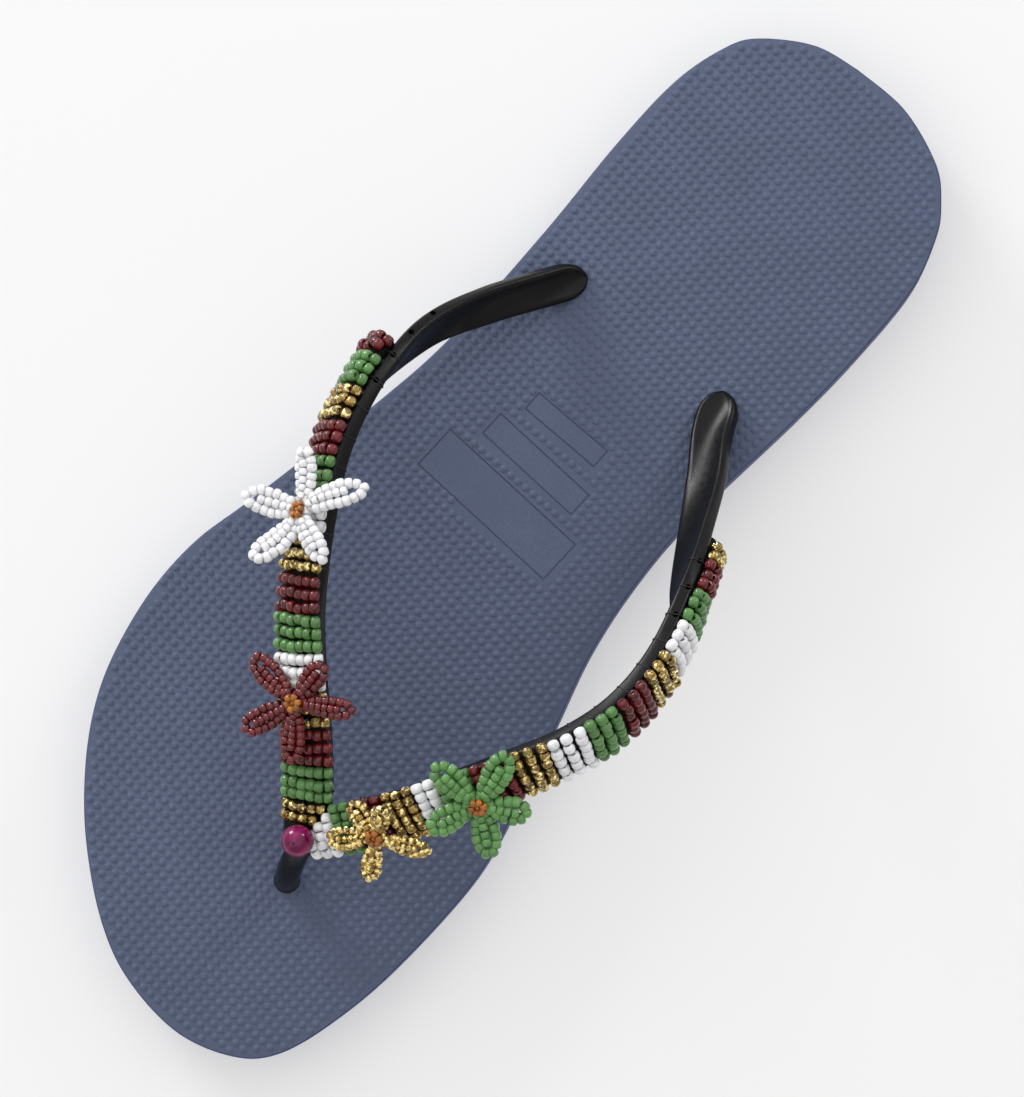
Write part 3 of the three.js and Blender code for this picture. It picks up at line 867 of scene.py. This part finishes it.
def slab(tread_depth):
    """The foam body above the tread, with its small rounded edges."""
    tops = np.array([sole_top(y) for y in OUTLINE[:, 1]])
    low_rows = [(0.5, 0), (0.12, 0.15), (0, 0.5)]
    high_rows = [(0, 0.65), (0.1, 0.28), (0.3, 0.08), (0.65, 0)]
    levels = [(inset, np.full(len(tops), tread_depth + height)) for inset, height in low_rows]
    levels += [(inset, tops - drop) for inset, drop in high_rows]
    rings = [np.column_stack([OUTLINE - OUTWARDS * inset, heights]) for inset, heights in levels]
    return shell_of(*skin(rings))


def anchor_cutter():
    """Stepped plugs that cut the three holes and the round recesses under them. The foam's top
    closes on the strap."""
    shell = Shell()
    for anchor in ANCHORS:
        hole = anchor.shank + CLEARANCE
        top = sole_top(anchor.y) - TOP_SKIN
        profile = [
            (RECESS_RADIUS, -1), (RECESS_RADIUS, RECESS_DEPTH), (hole, RECESS_DEPTH), (hole, top),
        ]
        shell.add(*lathe(profile, (anchor.x, anchor.y, 0), sides=40))
    return shell


def groove_cutter(groove):
    """Thin frames that cut the grooves round the smooth panels."""
    floor, above = -groove * 0.8, 1
    corners = np.array([(-1, -1), (1, -1), (1, 1), (-1, 1)])
    shell = Shell()
    for panel in PANELS:
        half = np.array([panel.width / 2, panel.height / 2])
        rings = []
        for grow, height in ((0, floor), (groove, floor), (groove, above), (0, above)):
            ring = turned(corners * (half + grow), math.radians(panel.turn))
            ring += np.array([panel.x, panel.y])
            rings.append([(x, y, sole_top(y) + height) for x, y in ring])
        shell.add(*skin(rings, hoop=True))
    return shell


def pimple_spots(pitch, turn):
    """The footbed's grid of pimples, clear of the sole's edge, the panels and the holes."""
    edge_margin, panel_margin = 0.52 * pitch, 0.5 * pitch
    lines = math.ceil(SOLE_LENGTH / pitch)
    reach = np.arange(-lines, lines + 1) * pitch
    grid = turned(np.stack(np.meshgrid(reach, reach), axis=-1).reshape(-1, 2), turn)
    low, high = OUTLINE.min(axis=0), OUTLINE.max(axis=0)
    grid = grid[((grid > low) & (grid < high)).all(axis=1)]
    grid = grid[inside_sole(grid)]
    grid = grid[edge_distance(grid) > edge_margin]
    for panel in PANELS:
        local = np.abs(turned(grid - np.array([panel.x, panel.y]), -math.radians(panel.turn)))
        half = np.array([panel.width, panel.height]) / 2
        grid = grid[(local > half + panel_margin).any(axis=1)]
    for anchor in ANCHORS:
        away = np.linalg.norm(grid - np.array([anchor.x, anchor.y]), axis=1)
        grid = grid[away > anchor.shank]
    return grid


def add_pimples(shell, size):
    """Adds the footbed's pimples as small domes let into the foam."""
    radius = size.pimple_radius / MM
    height = size.pimple_height / MM
    profile = [(radius, -0.04), (radius * 0.78, height * 0.38), (radius * 0.46, height * 0.8)]
    sides = 7
    ring_points, faces = lathe(profile, (0, 0, 0), sides=sides)
    crown = len(ring_points)
    template = np.vstack([ring_points, [0, 0, height]])
    top_ring = range(crown - sides, crown)
    cap = [(top_ring[i], top_ring[(i + 1) % sides], crown) for i in range(sides)]
    faces = [*faces[:-1], *cap]
    for x, y in pimple_spots(size.pimple_pitch / MM, size.pimple_turn):
        shell.add(template + np.array([x, y, sole_top(y)]), faces)


def rib_spans(y):
    """The stretches of a line across the sole that a tread rib fills, clear of the recesses."""
    inset, gap, shortest = 1.4, RECESS_RADIUS + 1, 2
    hit, x = across_sole(y)
    if not hit.any():
        return []
    spans = [(x[hit].min() + inset, x[hit].max() - inset)]
    for anchor in ANCHORS:
        if abs(y - anchor.y) < gap:
            half = math.sqrt(gap**2 - (y - anchor.y) ** 2)
            cut = []
            for low, high in spans:
                cut.extend([(low, min(high, anchor.x - half)), (max(low, anchor.x + half), high)])
            spans = cut
    return [(low, high) for low, high in spans if high - low > shortest]


def add_rim(shell, root):
    """Adds the smooth rim round the outsole's ribs, up to its root in the foam."""
    section = [(0.55, 0), (0.2, 0.3), (0.15, root), (1.9, root), (1.8, 0)]
    rings = []
    for point, outward in zip(OUTLINE, OUTWARDS):
        rings.append([(*(point - outward * inset), height) for inset, height in section])
    shell.add(*skin(rings, hoop=True), finish=1)


def add_tread(shell, size):
    """Adds the outsole's wavy ribs and its rim, which the sole stands on."""
    pitch = size.tread_pitch / MM
    root = size.tread_depth / MM + 0.2
    wave, wave_length, step, margin = 0.55, 9, 1.5, 2
    section = [(-0.34, root), (-0.2, 0), (0.2, 0), (0.34, root)]
    add_rim(shell, root)
    for y in np.arange(HEEL_Y + margin + 0.2, HEEL_Y + SOLE_LENGTH - margin, pitch):
        for low, high in rib_spans(y):
            rings = []
            for x in np.linspace(low, high, max(3, round((high - low) / step))):
                middle = y + wave * math.sin(math.tau * x / wave_length)
                rings.append([(x, middle + share * pitch, height) for share, height in section])
            shell.add(*skin(rings), finish=1)


class SANDAL_OT_sole(bpy.types.Operator):
    """Builds the foam sole with its pimpled footbed, framed panels and ribbed underside"""

    bl_idname = "sandal.sole"
    bl_label = "Sole"

    def execute(self, context):
        size = context.scene.sandal_sole
        body = make_piece("slab", slab(size.tread_depth / MM), [])
        combine(body, make_piece("holes", anchor_cutter(), []), "DIFFERENCE")
        combine(body, make_piece("grooves", groove_cutter(size.groove / MM), []), "DIFFERENCE")
        points = [vertex.co / MM for vertex in body.data.vertices]
        top, rest = [], []
        for face in body.data.polygons:
            (top if face.normal.z > 0.9 else rest).append(tuple(face.vertices))
        shell = shell_of(points, top)
        shell.add_faces(rest, finish=1)
        bpy.data.objects.remove(body)
        add_pimples(shell, size)
        add_tread(shell, size)
        materials = [footbed_foam(size.top_colour), cut_foam(size.wall_colour)]
        sole = make_piece("foam_sole", shell, materials, sharp=28)
        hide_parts("sole")
        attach(sole, BODY)
        return {"FINISHED"}


def bar_section(width, thick, rounding, dish):
    """A flat bar's section with rounded edges and a dished inner face."""
    flat, corner_steps = 0.05, 4
    rounding = min(rounding, thick / 2 - flat, width / 2 - flat)
    points = []
    for sign_out, sign_over, start in ((1, 1, 0), (-1, 1, 90), (-1, -1, 180), (1, -1, 270)):
        for step in range(corner_steps + 1):
            angle = math.radians(start + 90 * step / corner_steps)
            out = sign_out * (thick / 2 - rounding) + rounding * math.cos(angle)
            over = sign_over * (width / 2 - rounding) + rounding * math.sin(angle)
            points.append((out, over))
        if start == 90:
            for share in (0.82, 0.6, 0.3, 0, -0.3, -0.6, -0.82):
                depth = dish * (1 - share**2)
                points.append((-thick / 2 + depth, share * (width / 2 - rounding)))
    return points


def arm_shell(arm, rounding):
    """One arm of the strap. Its foot, towards the round tip on the sole, has an inner face dished
    like a spoon and fuller edges."""
    step, foot_length, foot_blend = 1.2, 8, 26
    tip_start = arm.length - TIP_LENGTH
    marks = [(distance, 1) for distance in np.linspace(0, tip_start, round(tip_start / step))]
    for turn in np.radians((12, 24, 36, 48, 58, 66, 73, 79, 84, 88)):
        marks.append((tip_start + TIP_LENGTH * math.sin(turn), math.cos(turn) ** 0.8))
    rings = []
    for distance, share in marks:
        place = arm.at(distance)
        foot = min(1, max(0, 1 - (arm.length - distance - foot_length) / foot_blend))
        width = place.width * share
        dish = (DISH + FOOT_DISH * foot) * share
        section = bar_section(width, place.thick, rounding + FOOT_FULLNESS * foot, dish)
        rings.append([on_place(place, out, over) for out, over in section])
    return shell_of(*skin(rings))


def knuckle_shell():
    """The rounded lump where the two arms meet over the toe post."""
    stretch = Matrix.Diagonal((*KNUCKLE_SIZE, 1))
    turn = Matrix.Rotation(math.radians(KNUCKLE_TILT), 4, "X")
    pole, rows = 0.0289, 16
    points, faces = lathe(ball_profile(1, pole, rows), (0, 0, 0), sides=28)
    return shell_of([FORK + (turn @ stretch @ Vector(p)) for p in points], faces)


def post_shell(radius):
    """The round post between the toes, a little slimmer in the middle."""
    steps, waist = 48, 0.12
    path = path_points([np.array(p, float) for p in POST_PATH], steps)
    radii = [radius - waist * math.sin(math.pi * i / steps) for i in range(steps + 1)]
    return shell_of(*tube(path, radii, sides=24))


def plug_shell(anchor):
    """A shank through the sole with its round plug in the recess below."""
    top = RECESS_DEPTH - CLEARANCE
    bottom = top - PLUG_THICKNESS
    profile = [
        (PLUG_RADIUS - 0.7, bottom), (PLUG_RADIUS - 0.2, bottom + 0.2), (PLUG_RADIUS, bottom + 0.7),
        (PLUG_RADIUS, top - 0.5), (PLUG_RADIUS - 0.5, top), (anchor.shank, top),
        (anchor.shank, sole_top(anchor.y) + 0.4),
    ]
    return shell_of(*lathe(profile, (anchor.x, anchor.y, 0), sides=36))


def bands_end(name, row_pitch):
    """Distance from the fork of the end of an arm's bands."""
    return FIRST_ROW + sum(rows for _, rows in BANDS[name]) * row_pitch


def hole_marks(name, row_pitch, hole_pitch):
    """Distances from the fork of the lacing holes along an arm."""
    return np.arange(FIRST_HOLE, bands_end(name, row_pitch) + WORK[name].holes_past, hole_pitch)


def hole_cutter(size, row_pitch):
    """Small rods that cut the lacing holes: through the arm near its upper edge or, where the arm
    stands nearly upright, down into that edge."""
    radius, flare, upright = size.hole_radius / MM, 0.3, 0.2
    shell = Shell()
    for name, arm in ARMS.items():
        for distance in hole_marks(name, row_pitch, size.hole_pitch / MM):
            place = arm.at(distance)
            reach = place.thick / 2
            if place.outward.z < upright:
                spot, axis = on_place(place, 0.35, place.width / 2), place.across
                profile = [(radius, -2.2), (radius, -0.5), (radius + 0.4, 0.3)]
            else:
                spot, axis = on_place(place, 0, place.width / 2 - HOLE_INSET), place.outward
                profile = [
                    (radius + flare, -reach - 0.6), (radius + flare, -reach + 0.12),
                    (radius, -reach + 0.5), (radius, reach + 0.6),
                ]
            shell.add(*lathe(profile, spot, axis, sides=14))
    return shell


class SANDAL_OT_strap(bpy.types.Operator):
    """Builds the moulded strap: two arms, fork, toe post, plugs and lacing holes"""

    bl_idname = "sandal.strap"
    bl_label = "Strap"

    def execute(self, context):
        size = context.scene.sandal_strap
        row_pitch = context.scene.sandal_beads.row_pitch / MM
        rounding = size.edge_round / MM
        strap = make_piece("moulded_strap", arm_shell(ARMS["medial"], rounding), [])
        joined = [
            arm_shell(ARMS["lateral"], rounding), knuckle_shell(), post_shell(size.post_radius / MM)
        ]
        joined.extend(plug_shell(anchor) for anchor in ANCHORS)
        for shell in joined:
            combine(strap, make_piece("joined part", shell, []), "UNION")
        holes = make_piece("lacing holes", hole_cutter(size, row_pitch), [])
        combine(strap, holes, "DIFFERENCE")
        strap.data.materials.append(strap_rubber(size.colour))
        shade(strap.data, 40)
        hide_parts("strap")
        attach(strap, BODY)
        return {"FINISHED"}


def bead_template():
    """One bead of radius 1 and half length 1 with its hole along Z."""
    rings = []
    for radius, height in BEAD_PROFILE:
        rings.append([(radius * x, radius * y, height) for x, y in circle(BEAD_SIDES)])
    return skin(rings, hoop=True)


BEAD_POINTS, BEAD_FACES = bead_template()


def add_bead(shell, dice, spot, axis, radius, length):
    """Adds one bead, a little off true as hand-strung beads are."""
    lean = 0.13
    wobble = Vector([dice.uniform(-lean, lean) for _ in range(3)])
    turn = UP.rotation_difference((axis + wobble).normalized()).to_matrix()
    girth = radius * dice.uniform(0.94, 1.04)
    half = length / 2 * dice.uniform(0.92, 1.04)
    sized = BEAD_POINTS * np.array([girth, girth, half])
    points = sized @ np.array(turn).T + np.array(spot)
    shell.add(points, BEAD_FACES, tint=dice.random())


def band_span(place, distance):
    """The reach of the beadwork past the middle of the arm, to its lower and its upper side."""
    return -place.width / 2, min(place.width / 2 + place.wrap, FORK_SPREAD * distance)


def row_path(place, distance, radius):
    """The line through the middles of a row's beads, over the padding and past the upper edge."""
    gap, inset, fullness, steps = 0.15, radius * 0.75, 0.55, 32
    foot = place.thick / 2 + gap
    top = place.thick / 2 + BEAD_SEAT + place.lift + BEAD_HEIGHT - radius
    low, high = band_span(place, distance)
    low, high = low + inset, high - inset
    path = []
    for i in range(steps + 1):
        angle = math.pi * i / steps
        out = foot + (top - foot) * math.sin(angle) ** fullness
        path.append(on_place(place, out, low + (high - low) * (1 - math.cos(angle)) / 2))
    return path


def add_row(shell, dice, arm, distance, radius, length, splay):
    """Adds one row of beads. splay throws the beads of a loose end row about, in millimetres."""
    row_sway, bead_sway, bead_rise = 0.08, 0.13, 0.1
    place = arm.at(distance)
    sway = dice.gauss(0, row_sway)
    for spot, heading in spaced(row_path(place, distance, radius), length * 1.01):
        shift = place.along * (sway + dice.gauss(0, bead_sway + splay))
        out = place.outward * (dice.gauss(0, bead_rise) + abs(dice.gauss(0, splay)))
        add_bead(shell, dice, spot + shift + out, heading, radius, length)


class SANDAL_OT_rows(bpy.types.Operator):
    """Strings the rows of seed beads along both arms, one piece for each colour of an arm"""

    bl_idname = "sandal.rows"
    bl_label = "Bead rows"

    def execute(self, context):
        size = context.scene.sandal_beads
        radius, length, pitch = (v / MM for v in (size.radius, size.length, size.row_pitch))
        finishes = {
            "white": opaque_bead("white bead", size.white, 0.16, 0.05),
            "green": opaque_bead("green bead", size.green),
            "maroon": opaque_bead("maroon bead", size.maroon, 0.2, 0.3),
            # The gold beads carry painted glints over about 0.3 of their surface.
            "gold": lined_bead("gold bead", size.gold, 0.3),
        }
        for name, arm in ARMS.items():
            dice = random.Random(name)
            shells = {colour: Shell() for colour in finishes}
            nodes = {colour: [] for colour in finishes}
            start = FIRST_ROW
            last = len(BANDS[name]) - 1
            for index, (colour, rows) in enumerate(BANDS[name]):
                splay = END_SPLAY if index == last else 0
                girth = radius * GIRTHS[colour]
                early = 0 if index else WORK[name].early_rows
                for row in range(-early, rows):
                    distance = start + (row + 0.5) * pitch
                    add_row(shells[colour], dice, arm, distance, girth, length, splay)
                nodes[colour].append(f"{name}_band_{index + 1:02d}")
                start += rows * pitch
            for colour, shell in shells.items():
                piece = make_piece(f"rows_{name}_{colour}", shell, [finishes[colour]], 60)
                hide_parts(*nodes[colour])
                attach(piece, BODY)
        return {"FINISHED"}


def squarish(x):
    """Moves a coordinate of a circle out towards a square's, which keeps its corners round."""
    return math.copysign(abs(x) ** 0.6, x)


def padding_shell(name, row_pitch):
    """The wrapped cord under the beads, from the fork to a little past the last row."""
    step, let_in, under_beads, end_half_width = 1.1, 0.3, 0.6, 1.8
    work = WORK[name]
    end = bands_end(name, row_pitch)
    rings = []
    for distance in np.arange(FIRST_ROW - 0.5, end + work.padding_past, step):
        place = ARMS[name].at(distance)
        past = max(0, (distance - end) / work.padding_past)
        taper = math.sqrt(max(0.02, 1 - past**2))
        low = place.thick / 2 - let_in
        high = place.thick / 2 + BEAD_SEAT + place.lift + under_beads
        middle = (low + high) / 2 + work.end_rise * past
        half_out = (high - low) / 2 * taper
        first, last = band_span(place, distance)
        wide = (last - first) / 2 - 2
        shift = (first + last) / 2
        half_over = (wide + (end_half_width - wide) * min(1, past * 3)) * taper if past else wide
        rings.append([
            on_place(place, middle + half_out * squarish(x), shift + half_over * squarish(y))
            for x, y in circle(20)
        ])
    return shell_of(*skin(rings))


def lacing(name, row_pitch, hole_pitch):
    """Thread stitches from each lacing hole over the arm's upper edge to the padding."""
    marks = hole_marks(name, row_pitch, hole_pitch)
    shell = Shell()
    for distance in marks[marks <= bands_end(name, row_pitch) - 1]:
        place = ARMS[name].at(distance)
        edge = place.width / 2
        inner, outer = -place.thick / 2, place.thick / 2
        path = [
            (inner + 0.8, edge - HOLE_INSET), (inner - 0.04, edge - 1.4),
            (inner - 0.06, edge - 0.7), (inner + 0.4, edge - 0.02), (0, edge + 0.04),
            (outer - 0.4, edge + 0.02), (outer + 0.3, edge - 0.5),
            (outer + place.lift, edge - 1.6),
        ]
        points = [np.array(on_place(place, out, over)) for out, over in path]
        shell.add(*tube(path_points(points, 18), LACE_RADIUS, sides=6))
    return shell


class SANDAL_OT_padding(bpy.types.Operator):
    """Builds the wrapped cord under the bead rows and the stitches that hold it to the strap"""

    bl_idname = "sandal.padding"
    bl_label = "Padding and stitches"

    def execute(self, context):
        row_pitch = context.scene.sandal_beads.row_pitch / MM
        hole_pitch = context.scene.sandal_strap.hole_pitch / MM
        cloth = padding_cloth()
        black_thread = thread("black thread", (0.006, 0.006, 0.006))
        for name in ARMS:
            cord = make_piece(f"padding_{name}", padding_shell(name, row_pitch), [cloth], 50)
            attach(cord, BODY)
            stitches = lacing(name, row_pitch, hole_pitch)
            laces = make_piece(f"lacing_{name}", stitches, [black_thread], 50)
            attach(laces, BODY)
        return {"FINISHED"}


def flower_place(flower):
    """The middle of a flower over the bead rows, and the arm's place under it."""
    place = ARMS[flower.arm].at(flower.along)
    bead_top = place.thick / 2 + BEAD_SEAT + place.lift + BEAD_HEIGHT
    return on_place(place, bead_top + CLEARANCE + flower.strand, flower.across), place


def petal_path(middle, petal, normal, strand):
    """The looped line of one petal: out along the face, bending to its tip, and back. The loop
    lies halfway between the face and the level."""
    reach = Vector(petal[:3])
    length = reach.length
    half = petal.width / 2 - strand
    flat = reach - normal * reach.dot(normal)
    bend = middle + flat * 0.5 + normal * PETAL_BEND
    tip = middle + reach
    aside = (normal + UP).cross(reach).normalized()
    first = PETAL_START / length
    last = 1 - strand / length
    path = []
    for i in range(PETAL_STEPS + 1):
        turn = math.tau * i / PETAL_STEPS
        out = (1 - math.cos(turn)) / 2
        t = first + (last - first) * out
        spine = middle * (1 - t) ** 2 + bend * (2 * t * (1 - t)) + tip * t**2
        spread = half * math.sin(turn) * (PETAL_ROOT + PETAL_FLARE * out)
        path.append(spine + aside * spread)
    return path


def inner_strand(path, normal, strand):
    """The short line that fills a petal with beads, between the two sides of its loop."""
    start, end, lift = 3, 18, strand * 0.55
    return [(path[i] + path[-1 - i]) / 2 + normal * lift for i in range(start, end)]


def ring_of_beads(shell, dice, centre, normal, spread, number, radius, length):
    """Adds beads lying head to tail round a small ring."""
    side = normal.orthogonal().normalized()
    other = normal.cross(side)
    for i in range(number):
        angle = math.tau * (i + dice.uniform(-0.12, 0.12)) / number
        spot = centre + (side * math.cos(angle) + other * math.sin(angle)) * spread
        axis = other * math.cos(angle) - side * math.sin(angle)
        add_bead(shell, dice, spot, axis, radius, length)


def flower_shell(flower, dice, length):
    """Five petals of beads on looped thread round a small ring of beads."""
    middle, place = flower_place(flower)
    radius, closeness, looseness = flower.strand, 0.93, 0.07
    shell = Shell()
    for petal in flower.petals:
        path = petal_path(middle, petal, place.outward, radius)
        for spot, heading in spaced(path, length * closeness):
            drift = Vector([dice.gauss(0, looseness) for _ in range(3)])
            add_bead(shell, dice, spot + drift, heading, radius, length)
        filling = inner_strand(path, place.outward, radius)
        for spot, heading in spaced(filling, length * FILLING_SIZE):
            add_bead(shell, dice, spot, heading, radius * FILLING_SIZE, length * FILLING_SIZE)
        shell.add(*tube(path[:-1], THREAD_RADIUS, sides=5, hoop=True), finish=1)
    ring_of_beads(shell, dice, middle, place.outward, HUB_RADIUS, 6, radius * 0.95, length)
    return shell


def centre_shell(flower, dice):
    """The ring of small beads in the middle of a flower, with one sunk in it."""
    middle, place = flower_place(flower)
    rise, spread, number, radius, length = 0.35, 1.3, 6, 0.78, 1.3
    sunk, sunk_radius, sunk_length = 0.25, 0.62, 1
    high = middle + place.outward * (flower.strand + rise)
    shell = Shell()
    ring_of_beads(shell, dice, high, place.outward, spread, number, radius, length)
    add_bead(shell, dice, high - place.outward * sunk, place.along, sunk_radius, sunk_length)
    return shell


class SANDAL_OT_flowers(bpy.types.Operator):
    """Strings the four flowers bead by bead, each with its amber middle"""

    bl_idname = "sandal.flowers"
    bl_label = "Flowers"

    def execute(self, context):
        size = context.scene.sandal_beads
        finishes = {
            # The pale gold petals carry painted glints over about 0.45 of their surface.
            "gold": lined_bead("pale gold bead", shaded(size.gold, 1.3), 0.45),
            "green": opaque_bead("green petal bead", shaded(size.green, 1.32)),
            "maroon": clear_bead("clear red bead", (0.17, 0.005, 0.008), 0.3),
            "white": milky_bead((0.84, 0.84, 0.86)),
        }
        threads = {
            "gold": (0.35, 0.24, 0.1), "green": (0.03, 0.08, 0.03),
            "maroon": (0.06, 0.01, 0.01), "white": (0.6, 0.6, 0.6),
        }
        amber = clear_bead("amber bead", size.amber, 0.45, 0.3)
        for colour, flower in FLOWERS.items():
            dice = random.Random(f"{colour} flower")
            shell = flower_shell(flower, dice, 2 * flower.strand * size.petal_shape)
            line = thread(f"{colour} thread", threads[colour])
            petals = make_piece(f"petals_{colour}", shell, [finishes[colour], line], 60)
            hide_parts(f"flower_{colour}")
            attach(petals, BODY)
            middle = make_piece(f"middle_{colour}", centre_shell(flower, dice), [amber], 60)
            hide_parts(f"flower_centre_{colour}")
            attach(middle, BODY)
        return {"FINISHED"}


class SANDAL_OT_toe_bead(bpy.types.Operator):
    """Turns the large polished bead over the fork and the thread that holds it"""

    bl_idname = "sandal.toe_bead"
    bl_label = "Toe bead"

    def execute(self, context):
        size = context.scene.sandal_beads
        radius = size.toe_bead_radius / MM
        axis = (TOE_BEAD_CENTRE - FORK).normalized()
        bore, rows = 0.55, 30
        ball = ball_profile(radius, bore, rows)
        shell = shell_of(*lathe(ball, TOE_BEAD_CENTRE, axis, sides=48))
        knot = [
            TOE_BEAD_CENTRE - axis * (radius + 0.9), TOE_BEAD_CENTRE - axis * (radius - 0.6),
            TOE_BEAD_CENTRE + axis * (radius - 0.6), TOE_BEAD_CENTRE + axis * (radius + 0.12),
        ]
        shell.add(*tube(knot, [0.6, 0.4, 0.4, 0.3], sides=10), finish=1)
        black_thread = thread("toe bead thread", (0.01, 0.01, 0.01))
        piece = make_piece("stone_bead", shell, [agate(size.magenta), black_thread], 50)
        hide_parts("toe_bead")
        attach(piece, BODY)
        return {"FINISHED"}


def add_camera():
    """Places the camera at the picture's viewing angle, turned and zoomed to the shoe."""
    data = bpy.data.cameras.new("camera")
    data.sensor_width = 36
    data.lens = data.sensor_width * FOCAL_PIXELS * ZOOM / PICTURE_HEIGHT
    data.clip_start = 0.01
    data.clip_end = 20
    camera = bpy.data.objects.new("camera", data)
    bpy.context.scene.collection.objects.link(camera)
    heading = (CAMERA_TARGET - CAMERA_PLACE).normalized()
    tilt = (-UP).rotation_difference(heading).to_matrix()
    top = PICTURE_UP.normalized()
    axes = Matrix((top.cross(UP), top, UP)).transposed()
    camera.matrix_world = Matrix.Translation(CAMERA_PLACE * MM) @ (tilt @ axes).to_4x4()
    bpy.context.scene.camera = camera


def add_light(kind, place, power, **size):
    """A light of a kind, aimed at the shoe from its place in metres."""
    data = bpy.data.lights.new("light", kind)
    data.energy = power
    for name, value in size.items():
        setattr(data, name, value)
    light = bpy.data.objects.new("light", data)
    light.location = place
    light.rotation_euler = (-Vector(place)).to_track_quat("-Z", "Y").to_euler()
    bpy.context.scene.collection.objects.link(light)


def room(dim, bright):
    """A pale room, brighter on the little-toe side."""
    bright_side, dimmest = (0.8, -0.4, 0.45), -0.6
    world = bpy.data.worlds.new("studio")
    world.use_nodes = True
    heading = material_node(world, "ShaderNodeTexCoord")
    slope = material_node(world, "ShaderNodeVectorMath", operation="DOT_PRODUCT")
    slope.inputs[1].default_value = bright_side
    link(world, heading.outputs["Generated"], slope.inputs[0])
    glow = ramp(world, slope.outputs["Value"], dimmest, 1, dim, bright)
    backdrop = world.node_tree.nodes["Background"]
    backdrop.inputs["Color"].default_value = (1, 1, 1, 1)
    link(world, glow, backdrop.inputs["Strength"])
    return world


class SANDAL_OT_stage(bpy.types.Operator):
    """Lays the pale floor and sets the soft lights and the camera"""

    bl_idname = "sandal.stage"
    bl_label = "Stage"

    def execute(self, context):
        size = context.scene.sandal_stage
        half, level = 3000, -0.05
        corners = [(x * half, y * half, level) for x, y in ((-1, -1), (1, -1), (1, 1), (-1, 1))]
        paper = new_material(
            "floor paper", size.floor_colour, 0.9, specular=0.1, glow=size.floor_glow
        )
        shader_of(paper).inputs["Emission Color"].default_value = (1, 1, 1, 1)
        floor = make_piece("floor", shell_of(corners, [(0, 1, 2, 3)]), [paper])
        add_light("SUN", SUN_PLACE, size.sun_strength, angle=math.radians(100))
        add_light("AREA", KEY_PLACE, size.key_power, size=0.9)
        add_light("AREA", BACK_PLACE, size.back_power, size=0.4)
        context.scene.world = room(size.dim, size.bright)
        context.scene.view_settings.view_transform = "Standard"
        add_camera()
        return {"FINISHED"}


class SANDAL_PT_panel(bpy.types.Panel):
    """The sandal's settings and builders"""

    bl_idname = "SANDAL_PT_panel"
    bl_label = "Beaded sandal"
    bl_space_type = "VIEW_3D"
    bl_region_type = "UI"
    bl_category = "Sandal"

    def draw(self, context):
        for operator in OPERATORS:
            self.layout.operator(operator.bl_idname)
        for name, settings in SETTINGS.items():
            group = getattr(context.scene, name)
            box = self.layout.box()
            for field in settings.__annotations__:
                box.prop(group, field)


OPERATORS = [
    SANDAL_OT_stage, SANDAL_OT_sole, SANDAL_OT_strap, SANDAL_OT_padding, SANDAL_OT_rows,
    SANDAL_OT_flowers, SANDAL_OT_toe_bead,
]
SETTINGS = {
    "sandal_sole": SoleSettings,
    "sandal_strap": StrapSettings,
    "sandal_beads": BeadSettings,
    "sandal_stage": StageSettings,
}


def register():
    for cls in [*SETTINGS.values(), *OPERATORS, SANDAL_PT_panel]:
        bpy.utils.register_class(cls)
    for name, settings in SETTINGS.items():
        setattr(bpy.types.Scene, name, bpy.props.PointerProperty(type=settings))


def unregister():
    for name in SETTINGS:
        delattr(bpy.types.Scene, name)
    for cls in reversed([*SETTINGS.values(), *OPERATORS, SANDAL_PT_panel]):
        bpy.utils.unregister_class(cls)


def main():
    """Builds the whole scene."""
    register()
    for operator in OPERATORS:
        group, name = operator.bl_idname.split(".")
        getattr(getattr(bpy.ops, group), name)()


if __name__ == "__main__":
    main()
